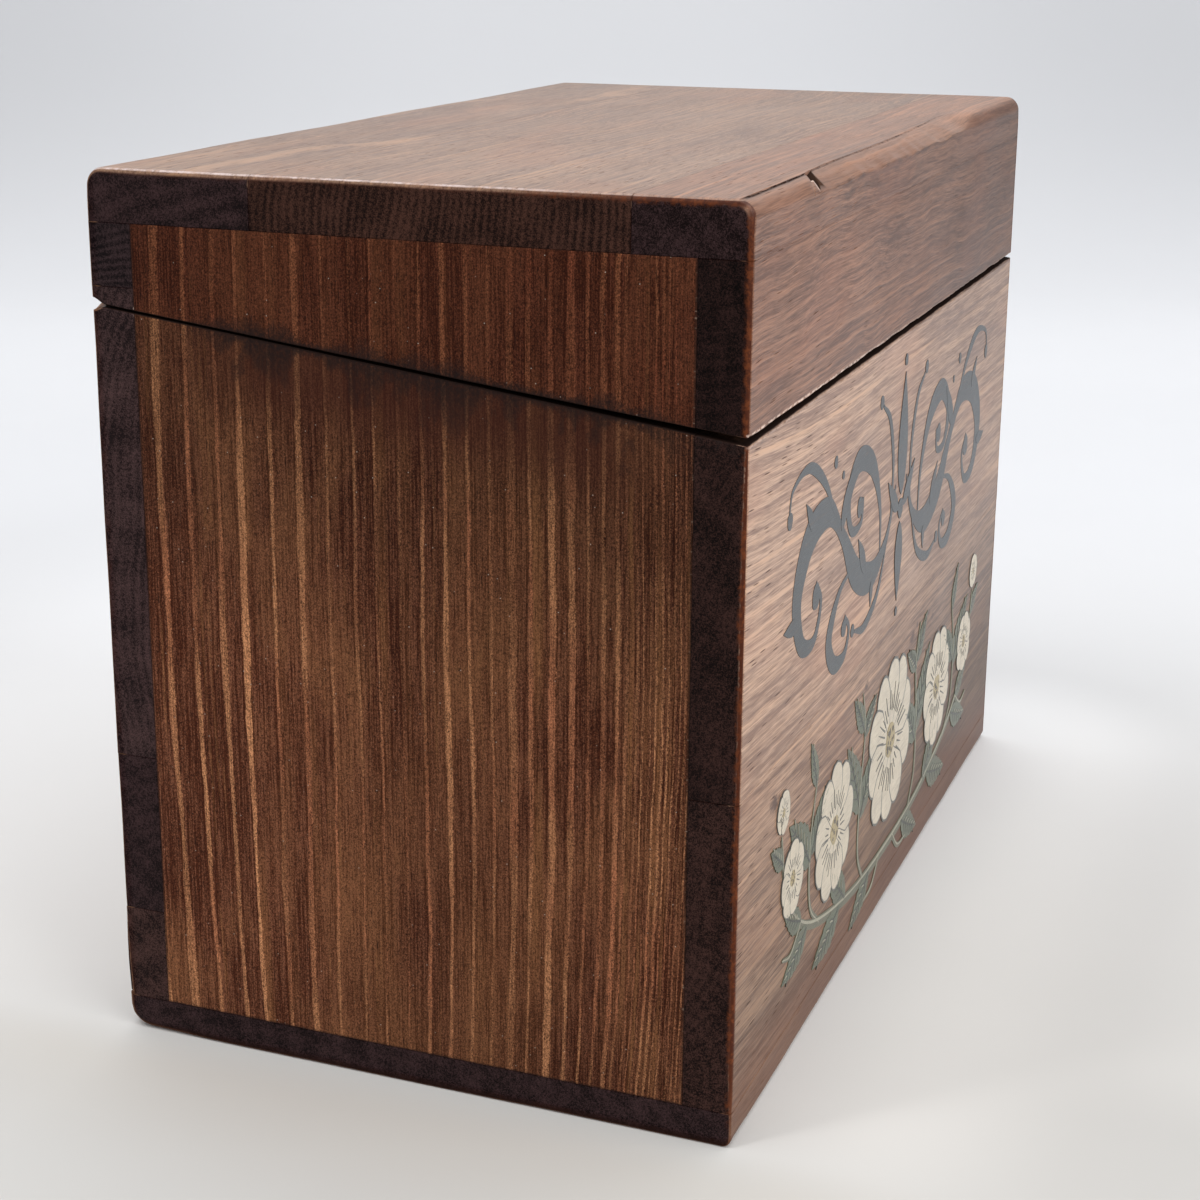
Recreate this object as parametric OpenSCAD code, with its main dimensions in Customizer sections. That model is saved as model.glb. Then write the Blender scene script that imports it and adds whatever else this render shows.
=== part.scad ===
// Card box of stained, lacquered boards with a slanted hinged lid.
// +Z is up, X runs along the long side, the front is at -Y and the hinges are at +Y.
// The origin is the middle of the underside. Millimetres.

/* [Box] */
// Outside length of the box, along X
box_w = 152.4; // [146:0.2:180]
// Outside depth of the box, front to back
box_d = 84.4; // [80:0.2:110]
// Outside height of the closed box
box_h = 114.4; // [112:0.2:130]

/* [Boards] */
// Thickness of the top boards
top_t = 6.6; // [6:0.1:8]
// Thickness of the front boards
front_t = 6.4; // [5:0.1:8]
// Thickness of the back boards
back_t = 6.0; // [5.8:0.1:8]
// Thickness of the bottom board
bottom_t = 4.6; // [4:0.1:8]
// Thickness of the two end panels
end_t = 6.4; // [5:0.1:8]

/* [Lid cut] */
// Height of the body's rim at the front face
rim_front = 87.3; // [80:0.1:90]
// Height of the body's rim at the back face
rim_back = 97.65; // [95:0.05:99]
// Gap between the rim and the closed lid at the front face
gap_front = 0.8; // [0.3:0.1:1.5]
// Gap between the rim and the closed lid at the back face
gap_back = 0.3; // [0.3:0.05:0.5]

/* [Glued strips] */
// Height of the glue line in the front
front_line = 44.5; // [30:0.5:60]
// Height of the lowest glue line in the back
back_line_1 = 17.4; // [10:0.1:25]
// Height of the middle glue line in the back
back_line_2 = 39; // [30:0.5:60]
// Height of the glue line in the back just above the cut
back_line_3 = 100; // [100:0.1:103]
// Glue line in the top, towards the back
top_line_back = 19.8; // [12:0.1:26]
// Glue line in the top, towards the front
top_line_front = -28; // [-32:0.5:-20]

/* [Edges] */
// Radius of the two long top edges
top_edge_r = 2.2; // [0.5:0.1:3]
// Radius of the front bottom edge
front_edge_r = 1.2; // [0.5:0.1:2]
// Radius of the back bottom edge
back_edge_r = 3; // [0.5:0.1:3.5]

/* [Hinges] */
// Length of each hinge
hinge_len = 25.4; // [20:0.1:32]
// Distance of each hinge's middle from the middle of the box
hinge_x = 44; // [30:0.5:48]
// Radius of the knuckles
knuckle_r = 1.5; // [1.4:0.05:1.6]
// Number of knuckles on each hinge
knuckles = 5; // [3:2:7]
// Radius of the hinge pin
pin_r = 0.8; // [0.7:0.05:0.8]
// Running clearance around the pin in the lid's knuckles
pin_play = 0.05; // [0.03:0.01:0.08]
// Thickness of the leaves
leaf_t = 0.7; // [0.6:0.05:0.8]
// Depth of each leaf, from the pin's axis
leaf_depth = 5; // [4.6:0.1:5.2]
// Distance of the pin's axis inside the back face
axis_inset = 0.12; // [0.08:0.01:0.15]
// Length of the hinge screws
screw_len = 6; // [5:0.5:6]
// Radius of the screw shanks
screw_r = 0.7; // [0.5:0.05:0.8]
// Radius of the screw heads
head_r = 1.35; // [1.1:0.05:1.4]

/* [Hidden] */
$fn = 64;
e = 1;                       // overshoot of cutting solids

// slopes of the two sawn faces
rim_slope = atan((rim_back - rim_front) / box_d);
lid_front = rim_front + gap_front;
lid_back = rim_back + gap_back;
lid_slope = atan((lid_back - lid_front) / box_d);
function rim_z(y) = rim_front + (y + box_d / 2) * tan(rim_slope);
function lid_z(y) = lid_front + (y + box_d / 2) * tan(lid_slope);

// hinge axis, halfway up the gap
axis_y = box_d / 2 - axis_inset;
axis_z = (rim_z(axis_y) + lid_z(axis_y)) / 2;
// square distance from the axis to each sawn face
rim_off = (axis_z - rim_z(axis_y)) * cos(rim_slope);
lid_off = (lid_z(axis_y) - axis_z) * cos(lid_slope);

knuckle_gap = 0.1;           // between neighbouring knuckles
knuckle_len = hinge_len / knuckles;
groove_r = knuckle_r + 0.2;  // groove in the wood around the knuckles
head_t = 0.4;                // thickness of the pin's riveted heads
groove_len = hinge_len + 2 * head_t + 1;
screw_y = -(knuckle_r + leaf_depth) / 2 - 0.1;
screw_x = hinge_len / 2 - 4.7;

// ---------- helpers ----------

// solid of a Y-Z outline, from x0 to x1
module across(x0, x1) {
    translate([x0, 0, 0]) rotate([90, 0, 90]) linear_extrude(height = x1 - x0) children();
}

// what is taken off a long edge at (y, z) to round it; sy and sz point into the board
module edge_cut(y, z, r, sy, sz) {
    difference() {
        translate([-box_w / 2 - e, sy > 0 ? y - e : y - r, sz > 0 ? z - e : z - r])
            cube([box_w + 2 * e, r + e, r + e]);
        translate([-box_w / 2 - 2 * e, y + sy * r, z + sz * r])
            rotate([0, 90, 0]) cylinder(r = r, h = box_w + 4 * e);
    }
}

// hinge frames: x along the pin, y outwards along the sawn face, z square to it
module rim_frame(side) {
    translate([side * hinge_x, axis_y, axis_z]) rotate([rim_slope, 0, 0]) children();
}
module lid_frame(side) {
    translate([side * hinge_x, axis_y, axis_z]) rotate([lid_slope, 0, 0]) children();
}

// bed for a leaf in the wood; up = 1 in the lid, -1 in the body
module leaf_bed(off, up) {
    translate([-hinge_len / 2 - 0.05, -leaf_depth - 0.05, up > 0 ? off - e : -off - leaf_t])
        cube([hinge_len + 0.1, leaf_depth + 2 * e, leaf_t + e]);
}

// groove in the wood for the knuckles
module knuckle_groove() {
    translate([-groove_len / 2, 0, 0]) rotate([0, 90, 0]) cylinder(r = groove_r, h = groove_len);
}

// countersunk screw, head face at z = 0, pointing down
module screw_solid() {
    translate([0, 0, -leaf_t]) cylinder(r1 = screw_r, r2 = head_r, h = leaf_t);
    translate([0, 0, -screw_len + 1.2]) cylinder(r = screw_r, h = screw_len - 1.2 - leaf_t);
    translate([0, 0, -screw_len]) cylinder(r1 = 0.05, r2 = screw_r, h = 1.2);
}
module screw() {
    difference() {
        screw_solid();
        translate([-head_r - e, -0.2, -0.35]) cube([2 * (head_r + e), 0.4, 0.35 + e]);
    }
}

// the two screws of one leaf, in a hinge frame
module leaf_screws(off, up) {
    for (s = [-1, 1])
        translate([s * screw_x, screw_y, up * off]) mirror([0, 0, up > 0 ? 1 : 0]) screw();
}
module leaf_screw_holes(off, up) {
    for (s = [-1, 1])
        translate([s * screw_x, screw_y, up * off]) mirror([0, 0, up > 0 ? 1 : 0]) screw_solid();
}

// one leaf with its share of the knuckles; odd = true has the outer ones
module leaf(off, up, odd, bore_r) {
    difference() {
        union() {
            translate([-hinge_len / 2, -leaf_depth, up > 0 ? off : -off - leaf_t])
                cube([hinge_len, leaf_depth, leaf_t]);
            for (k = [0 : knuckles - 1])
                if ((k % 2 == 0) == odd)
                    translate([-hinge_len / 2 + k * knuckle_len + (k > 0 ? knuckle_gap / 2 : 0), 0, 0])
                        rotate([0, 90, 0])
                            cylinder(r = knuckle_r,
                                     h = knuckle_len - (k > 0 ? knuckle_gap / 2 : 0)
                                                     - (k < knuckles - 1 ? knuckle_gap / 2 : 0));
        }
        // bore for the pin
        translate([-hinge_len / 2 - e, 0, 0]) rotate([0, 90, 0])
            cylinder(r = bore_r, h = hinge_len + 2 * e);
        // room for the other leaf's knuckles
        for (k = [0 : knuckles - 1])
            if ((k % 2 == 0) != odd)
                translate([-hinge_len / 2 + k * knuckle_len - knuckle_gap / 2 - (k == 0 ? e : 0), 0, 0])
                    rotate([0, 90, 0])
                        cylinder(r = knuckle_r + 0.12,
                                 h = knuckle_len + knuckle_gap + (k == 0 || k == knuckles - 1 ? e : 0));
        leaf_screw_holes(off, up);
    }
}

module hinge_pin(side) {
    color("Goldenrod") rim_frame(side) rotate([0, 90, 0]) {
        translate([0, 0, -hinge_len / 2]) cylinder(r = pin_r, h = hinge_len);
        for (s = [-1, 1])
            translate([0, 0, s > 0 ? hinge_len / 2 : -hinge_len / 2 - head_t])
                cylinder(r = pin_r + 0.35, h = head_t);
    }
}
module body_leaf(side) {
    color("DarkGoldenrod") rim_frame(side) leaf(rim_off, -1, true, pin_r);
}
module lid_leaf(side) {
    color("DarkGoldenrod") lid_frame(side) leaf(lid_off, 1, false, pin_r + pin_play);
}
module body_screws(side) {
    color("Gold") rim_frame(side) leaf_screws(rim_off, -1);
}
module lid_screws(side) {
    color("Gold") lid_frame(side) leaf_screws(lid_off, 1);
}

// what the hinges take out of the body and out of the lid
module rim_hinge_cuts() {
    for (side = [-1, 1]) rim_frame(side) {
        leaf_bed(rim_off, -1);
        knuckle_groove();
        leaf_screw_holes(rim_off, -1);
    }
}
module lid_hinge_cuts() {
    for (side = [-1, 1]) lid_frame(side) {
        leaf_bed(lid_off, 1);
        knuckle_groove();
        leaf_screw_holes(lid_off, 1);
    }
}

// ---------- body ----------

// bottom, grain along X, full depth and width
module bottom_board() {
    color([0.24, 0.13, 0.09]) difference() {
        across(-box_w / 2, box_w / 2)
            polygon([[-box_d / 2, 0], [box_d / 2, 0], [box_d / 2, bottom_t], [-box_d / 2, bottom_t]]);
        edge_cut(-box_d / 2, 0, front_edge_r, 1, 1);
        edge_cut(box_d / 2, 0, back_edge_r, -1, 1);
    }
}

// front, two boards glued edge to edge
module front_lower_board() {
    color([0.55, 0.36, 0.27]) across(-box_w / 2, box_w / 2)
        polygon([[-box_d / 2, bottom_t], [-box_d / 2 + front_t, bottom_t],
                 [-box_d / 2 + front_t, front_line], [-box_d / 2, front_line]]);
}
module front_upper_board() {
    color([0.58, 0.38, 0.28]) across(-box_w / 2, box_w / 2)
        polygon([[-box_d / 2, front_line], [-box_d / 2 + front_t, front_line],
                 [-box_d / 2 + front_t, rim_z(-box_d / 2 + front_t)], [-box_d / 2, rim_z(-box_d / 2)]]);
}

// back, three boards glued edge to edge
module back_lower_strip() {
    color([0.40, 0.25, 0.18]) across(-box_w / 2, box_w / 2)
        polygon([[box_d / 2 - back_t, bottom_t], [box_d / 2, bottom_t],
                 [box_d / 2, back_line_1], [box_d / 2 - back_t, back_line_1]]);
}
module back_middle_strip() {
    color([0.43, 0.27, 0.19]) across(-box_w / 2, box_w / 2)
        polygon([[box_d / 2 - back_t, back_line_1], [box_d / 2, back_line_1],
                 [box_d / 2, back_line_2], [box_d / 2 - back_t, back_line_2]]);
}
module back_upper_board() {
    color([0.46, 0.29, 0.21]) difference() {
        across(-box_w / 2, box_w / 2)
            polygon([[box_d / 2 - back_t, back_line_2], [box_d / 2, back_line_2],
                     [box_d / 2, rim_z(box_d / 2)], [box_d / 2 - back_t, rim_z(box_d / 2 - back_t)]]);
        rim_hinge_cuts();
    }
}

// end panels, grain upright, let in flush between the other boards
module end_panel(x0) {
    across(x0, x0 + end_t)
        polygon([[-box_d / 2 + front_t, bottom_t], [box_d / 2 - back_t, bottom_t],
                 [box_d / 2 - back_t, rim_z(box_d / 2 - back_t)],
                 [-box_d / 2 + front_t, rim_z(-box_d / 2 + front_t)]]);
}
module left_end_panel() { color([0.45, 0.26, 0.15]) end_panel(-box_w / 2); }
module right_end_panel() { color([0.45, 0.26, 0.15]) end_panel(box_w / 2 - end_t); }

// ---------- lid ----------

// top, three boards glued edge to edge
module top_part(y0, y1) {
    difference() {
        across(-box_w / 2, box_w / 2)
            polygon([[y0, box_h - top_t], [y1, box_h - top_t], [y1, box_h], [y0, box_h]]);
        if (y1 > box_d / 2 - e) edge_cut(box_d / 2, box_h, top_edge_r, -1, -1);
        if (y0 < -box_d / 2 + e) edge_cut(-box_d / 2, box_h, top_edge_r, 1, -1);
    }
}
module top_back_board() { color([0.60, 0.43, 0.34]) top_part(top_line_back, box_d / 2); }
module top_middle_board() { color([0.63, 0.46, 0.36]) top_part(top_line_front, top_line_back); }
module top_front_board() { color([0.61, 0.43, 0.33]) top_part(-box_d / 2, top_line_front); }

module lid_front_rail() {
    color([0.58, 0.38, 0.28]) across(-box_w / 2, box_w / 2)
        polygon([[-box_d / 2, lid_z(-box_d / 2)], [-box_d / 2 + front_t, lid_z(-box_d / 2 + front_t)],
                 [-box_d / 2 + front_t, box_h - top_t], [-box_d / 2, box_h - top_t]]);
}
// what the saw left on the lid of the back's upper board, under the glue line
module lid_back_sliver() {
    color([0.46, 0.29, 0.21]) difference() {
        across(-box_w / 2, box_w / 2)
            polygon([[box_d / 2 - back_t, lid_z(box_d / 2 - back_t)], [box_d / 2, lid_z(box_d / 2)],
                     [box_d / 2, back_line_3], [box_d / 2 - back_t, back_line_3]]);
        lid_hinge_cuts();
    }
}
module lid_back_rail() {
    color([0.40, 0.25, 0.18]) difference() {
        across(-box_w / 2, box_w / 2)
            polygon([[box_d / 2 - back_t, back_line_3], [box_d / 2, back_line_3],
                     [box_d / 2, box_h - top_t], [box_d / 2 - back_t, box_h - top_t]]);
        lid_hinge_cuts();
    }
}
module lid_end(x0) {
    across(x0, x0 + end_t)
        polygon([[-box_d / 2 + front_t, lid_z(-box_d / 2 + front_t)],
                 [box_d / 2 - back_t, lid_z(box_d / 2 - back_t)],
                 [box_d / 2 - back_t, box_h - top_t], [-box_d / 2 + front_t, box_h - top_t]]);
}
module lid_left_end() { color([0.45, 0.26, 0.15]) lid_end(-box_w / 2); }
module lid_right_end() { color([0.45, 0.26, 0.15]) lid_end(box_w / 2 - end_t); }

// ---------- nodes ----------

bottom_board();
front_lower_board();
front_upper_board();
back_lower_strip();
back_middle_strip();
back_upper_board();
left_end_panel();
right_end_panel();
top_back_board();
top_middle_board();
top_front_board();
lid_front_rail();
lid_back_sliver();
lid_back_rail();
lid_left_end();
lid_right_end();
body_leaf(-1);  // left_hinge_body_leaf
lid_leaf(-1);  // left_hinge_lid_leaf
hinge_pin(-1);  // left_hinge_pin
body_screws(-1);  // left_hinge_body_screws
lid_screws(-1);  // left_hinge_lid_screws
body_leaf(1);  // right_hinge_body_leaf
lid_leaf(1);  // right_hinge_lid_leaf
hinge_pin(1);  // right_hinge_pin
body_screws(1);  // right_hinge_body_screws
lid_screws(1);  // right_hinge_lid_screws
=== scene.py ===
"""Card box of stained, lacquered pine boards with a slanted hinged lid.

Board shapes are worked out in millimetres in the row's own frame, and turned into metres as the meshes are made.
"""

import math

import bmesh
import bpy
import numpy as np
from mathutils import Matrix, Vector


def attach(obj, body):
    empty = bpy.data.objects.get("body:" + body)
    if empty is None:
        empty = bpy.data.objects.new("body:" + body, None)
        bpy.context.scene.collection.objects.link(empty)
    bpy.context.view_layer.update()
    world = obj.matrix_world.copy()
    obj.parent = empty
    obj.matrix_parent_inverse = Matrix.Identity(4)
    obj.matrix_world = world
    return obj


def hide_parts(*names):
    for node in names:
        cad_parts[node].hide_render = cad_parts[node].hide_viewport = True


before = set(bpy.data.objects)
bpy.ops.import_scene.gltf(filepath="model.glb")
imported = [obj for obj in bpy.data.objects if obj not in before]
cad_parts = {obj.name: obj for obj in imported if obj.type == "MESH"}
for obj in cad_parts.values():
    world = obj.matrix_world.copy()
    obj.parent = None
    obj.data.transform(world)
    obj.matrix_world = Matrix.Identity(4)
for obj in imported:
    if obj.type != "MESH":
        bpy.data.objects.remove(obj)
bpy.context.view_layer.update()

MM = 0.001
scene = bpy.context.scene

# ---------------------------------------------------------------- sizes, as in the CAD model (mm)
W2 = 76.2  # half the length
D2 = 42.2  # half the depth
H = 114.4
TOP_T, FRONT_T, BACK_T, BOTTOM_T, END_T = 6.6, 6.4, 6.0, 4.6, 6.4
RIM_F, RIM_B, LID_F, LID_B = 87.3, 97.65, 88.1, 97.95
FRONT_LINE, BACK_1, BACK_2, BACK_3 = 44.5, 17.4, 39.0, 100.0
TOP_BACK, TOP_FRONT = 19.8, -28.0
AXIS_Y, AXIS_Z = 42.08, 97.78564
RIM_DEG = math.degrees(math.atan((RIM_B - RIM_F) / (2 * D2)))
LID_DEG = math.degrees(math.atan((LID_B - LID_F) / (2 * D2)))
HINGE_X, HINGE_LEN, GROOVE_R, GROOVE_LEN = 44.0, 25.4, 1.7, 27.2
LEAF_T, LEAF_DEPTH = 0.7, 5.0


def rim_z(y):
    """The sawn faces swell a little towards each other between front and back."""
    return RIM_F + (y + D2) * (RIM_B - RIM_F) / (2 * D2) + 0.085 * (1 - (y / D2) ** 2)


def lid_z(y):
    return LID_F + (y + D2) * (LID_B - LID_F) / (2 * D2) - 0.085 * (1 - (y / D2) ** 2)


# ---------------------------------------------------------------- camera
cam_data = bpy.data.cameras.new("camera")
cam = bpy.data.objects.new("camera", cam_data)
scene.collection.objects.link(cam)
yaw, pitch, roll = math.radians(68.44), math.radians(15.85), math.radians(0.17)
fwd = Vector((math.cos(pitch) * math.sin(yaw), math.cos(pitch) * math.cos(yaw), -math.sin(pitch)))
right = Vector((math.cos(yaw), -math.sin(yaw), 0))
up = right.cross(fwd)
cx = right * math.cos(roll) + up * math.sin(roll)
cy = -right * math.sin(roll) + up * math.cos(roll)
rot = Matrix((cx, cy, -fwd)).transposed()
cam.matrix_world = Matrix.Translation((-0.30600, -0.11151, 0.14392)) @ rot.to_4x4()
cam_data.sensor_width = 36
cam_data.lens = 66.78
cam_data.shift_x = 0.0267
cam_data.shift_y = -0.0458
cam_data.clip_start = 0.01
cam_data.clip_end = 20
scene.camera = cam

# ---------------------------------------------------------------- smooth, repeatable unevenness


def waves(p, seed, scales):
    """Smooth unevenness from -1 to 1 at the points p (N x 3, mm): sines of the given wavelengths in mixed directions."""
    rng = np.random.default_rng(seed)
    out = np.zeros(len(p))
    total = 0
    for wavelength, weight in scales:
        for _ in range(5):
            d = rng.normal(size=3)
            d /= np.linalg.norm(d)
            out += weight * np.sin(p @ d * (2 * math.pi / (wavelength * rng.uniform(0.75, 1.3))) + rng.uniform(0, 6.283))
        total += weight * 5 * 0.45
    return np.clip(out / total, -1, 1)


def ramp(v, a, b):
    """0 below a, 1 above b, smooth between (a > b runs the other way)."""
    t = np.clip((v - a) / (b - a), 0, 1)
    return t * t * (3 - 2 * t)


def arc(d, r):
    """How far an edge rounded to radius r lies below the face, at distance d from the edge."""
    r = np.broadcast_to(np.asarray(r, float), np.shape(d))
    q = np.clip(r - np.clip(d, 0, None), 0, None)
    return np.where(r > 0, r - np.sqrt(np.clip(r * r - q * q, 0, None)), 0.0)


# ---------------------------------------------------------------- boards
STEPS = [0, 0.02, 0.06, 0.12, 0.2, 0.3, 0.42, 0.56, 0.72, 0.9, 1.12, 1.4, 1.75, 2.2, 2.8, 3.6, 4.8]


def cuts(length, coarse, extra=()):
    """Grid lines from 0 to length, close together near both ends."""
    near = [s for s in STEPS if s < length / 2 - 0.15]
    line = set(near) | {length - s for s in near}
    a, b = near[-1], length - near[-1]
    n = max(1, round((b - a) / coarse))
    line |= {a + (b - a) * i / n for i in range(1, n)}
    line = sorted(line)
    for e in extra:
        if all(abs(e - v) > 1e-6 for v in line):
            line.append(e)
    return np.array(sorted(line))


class Board:
    """A board between two X positions with a four-sided Y-Z outline, on a grid that is fine near its edges.

    lo and hi are the Z of its bottom and top as functions of Y."""

    def __init__(self, name, x0, x1, y0, y1, lo, hi, step=2.0, x_extra=(), y_cuts=None, cross=2.5):
        self.name, self.x0, self.x1, self.y0, self.y1 = name, x0, x1, y0, y1
        self.lo = lo if callable(lo) else (lambda y, v=lo: v + 0 * y)
        self.hi = hi if callable(hi) else (lambda y, v=hi: v + 0 * y)
        ym = (y0 + y1) / 2
        height = float(self.hi(np.array([ym]))[0] - self.lo(np.array([ym]))[0])
        xs = x0 + cuts(x1 - x0, step, x_extra)
        ys = y0 + (cuts(y1 - y0, cross) if y_cuts is None else np.array(y_cuts))
        ts = cuts(height, cross) / height
        self.nx, self.ny, self.nz = len(xs), len(ys), len(ts)
        index = -np.ones((self.nx, self.ny, self.nz), int)
        shell = np.zeros_like(index, bool)
        shell[[0, -1]] = True
        shell[:, [0, -1]] = True
        shell[:, :, [0, -1]] = True
        i, j, k = np.nonzero(shell)
        index[i, j, k] = np.arange(len(i))
        self.index = index
        x, y, t = xs[i], ys[j], ts[k]
        z0, z1 = self.lo(y), self.hi(y)
        self.p = np.column_stack([x, y, z0 + (z1 - z0) * t])
        self.flat = self.p.copy()
        # distances from the six faces
        self.d = {
            "x0": x - x0,
            "x1": x1 - x,
            "f": y - y0,
            "k": y1 - y,
            "b": (z1 - z0) * t,
            "t": (z1 - z0) * (1 - t),
        }
        self.height = height
        self.on = {"x0": i == 0, "x1": i == self.nx - 1, "f": j == 0, "k": j == self.ny - 1, "b": k == 0, "t": k == self.nz - 1}

    def sink(self, face, depth, reach=None):
        """Moves a face inwards by depth (an array over the vertices), fading out within reach."""
        axis, sign, size = {
            "x0": (0, 1, self.x1 - self.x0),
            "x1": (0, -1, self.x1 - self.x0),
            "f": (1, 1, self.y1 - self.y0),
            "k": (1, -1, self.y1 - self.y0),
            "b": (2, 1, self.height),
            "t": (2, -1, self.height),
        }[face]
        if reach is None:
            reach = max(3.0 * float(np.max(depth)), 0.8)
        reach = min(reach, size * 0.45)
        w = np.clip(1 - self.d[face] / reach, 0, 1)
        self.p[:, axis] += sign * depth * w

    def mesh(self):
        quads, uvs = [], []
        ix = self.index
        shelf_x = shelf_y = row_h = 0.0
        spans = []
        for face in ("x0", "t", "f", "k", "b", "x1"):
            axis = {"x": 0, "f": 1, "k": 1, "b": 2, "t": 2}[face[0]]
            a, b = [c for c in (0, 1, 2) if c != axis]
            spans.append((face, axis, a, b))
        ext = self.p.max(0) - self.p.min(0)
        org = self.p.min(0)
        widest = max(ext[a] for _, _, a, _ in spans)
        pitch = max(widest, math.sqrt(sum(ext[a] * ext[b] for _, _, a, b in spans)) * 1.05) + 2
        places = {}
        for face, axis, a, b in sorted(spans, key=lambda s: -ext[s[3]]):
            w, h = ext[a] + 1.5, ext[b] + 1.5
            if shelf_x + w > pitch + 1e-6:
                shelf_x, shelf_y, row_h = 0.0, shelf_y + row_h, 0.0
            places[face] = (shelf_x, shelf_y)
            shelf_x += w
            row_h = max(row_h, h)
        total = max(pitch, shelf_y + row_h)
        for face, axis, a, b in spans:
            sel = [slice(None)] * 3
            sel[axis] = 0 if face in ("x0", "f", "b") else -1
            g = ix[tuple(sel)]
            q = np.stack([g[:-1, :-1], g[1:, :-1], g[1:, 1:], g[:-1, 1:]], -1).reshape(-1, 4)
            # outward winding
            flip = (face in ("x0", "k", "b"))
            if flip:
                q = q[:, ::-1]
            quads.append(q)
            ox, oy = places[face]
            u = (self.p[q][:, :, a] - org[a] + 0.5 + ox) / total
            v = (self.p[q][:, :, b] - org[b] + 0.5 + oy) / total
            uvs.append(np.stack([u, v], -1).reshape(-1, 2))
        quads = np.concatenate(quads)
        me = bpy.data.meshes.new(self.name)
        me.vertices.add(len(self.p))
        me.vertices.foreach_set("co", (self.p * MM).astype(np.float32).ravel())
        me.loops.add(quads.size)
        me.loops.foreach_set("vertex_index", quads.ravel())
        me.polygons.add(len(quads))
        me.polygons.foreach_set("loop_start", np.arange(len(quads)) * 4)
        me.polygons.foreach_set("loop_total", np.full(len(quads), 4))
        me.polygons.foreach_set("use_smooth", np.ones(len(quads), bool))
        uv = me.uv_layers.new(name="OFBake")
        uv.data.foreach_set("uv", np.concatenate(uvs).astype(np.float32).ravel())
        me.update(calc_edges=True)
        me.validate()
        return me


def outer_depth(p):
    """Distance inside the box's outer Y-Z profile, with its rounded long edges."""
    y, z = p[:, 1], p[:, 2]
    f, k, b, t = y + D2, D2 - y, z, H - z
    d = np.minimum(np.minimum(f, k), np.minimum(b, t))
    for s, v, r in ((f, t, 2.2), (k, t, 2.2), (f, b, 1.2), (k, b, 3.0)):
        corner = (s < r) & (v < r)
        d = np.where(corner, r - np.hypot(r - s, r - v), d)
    return np.clip(d, 0, None)


def near_edge_radius(p, side):
    """Radius to which sanding has rounded the edges of an end of the box; uneven, larger at the corners."""
    q = p.copy()
    q[:, 0] = side * 50
    y, z = p[:, 1], p[:, 2]
    r = 0.78 + 0.16 * waves(q, 11 + side, ((31, 1), (13, 0.6), (5.5, 0.35)))
    top = ramp(z, H - 4, H - 1.5)
    r += 0.12 * top
    if side < 0:
        r -= 0.30 * np.exp(-((y - D2) / 5) ** 2) * ramp(z, 5, 15)
        r -= 0.26 * (1 - ramp(z, 3, 9)) * (1 - ramp(y, D2 - 14, D2 - 6))
    else:
        r -= 0.30
    r += 0.5 * np.exp(-((y - D2) ** 2 + (z - 1) ** 2) / 60)  # lower back corner
    r += 0.35 * np.exp(-((y + D2) ** 2 + (z - H) ** 2) / 12)  # upper front corner
    r += 0.15 * np.exp(-((y - D2) ** 2 + (z - H) ** 2) / 12)
    return r


def round_ends(board, joints=(), cuts_at=(), r_joint=0.09, r_cut=0.26, seed=1):
    """Rounds both ends of a board: outer edges, saw cuts (faces named in cuts_at) and glue lines (faces in joints)."""
    for end, side in (("x0", -1), ("x1", 1)):
        depth = arc(outer_depth(board.p), near_edge_radius(board.p, side))
        for face in joints:
            depth = np.maximum(depth, arc(board.d[face], r_joint * (1 + 0.5 * waves(board.flat, seed + 3, ((7, 1), (2.5, 0.6))))))
        for face in cuts_at:
            depth = np.maximum(depth, arc(board.d[face], r_cut * (1 + 0.35 * waves(board.flat, seed + 5, ((6, 1), (1.7, 0.8))))))
        board.sink(end, depth)


def uneven(board, faces, amount, seed, insets):
    """Slight hand-sanded unevenness of the outer faces, always inwards."""
    for face in faces:
        n = waves(board.flat, seed, ((60, 1), (24, 0.6), (9, 0.25)))
        board.sink(face, insets.get(face, 0.0) + amount * (0.5 + 0.5 * n), reach=2.6)


made = {}


def add(name, me, body, material, node=None):
    ob = bpy.data.objects.new(name, me)
    scene.collection.objects.link(ob)
    if material is not None:
        me.materials.clear()
        me.materials.append(material)
    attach(ob, body)
    if node:
        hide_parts(node)
    made[name] = ob
    return ob


# ---------------------------------------------------------------- node helpers


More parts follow.
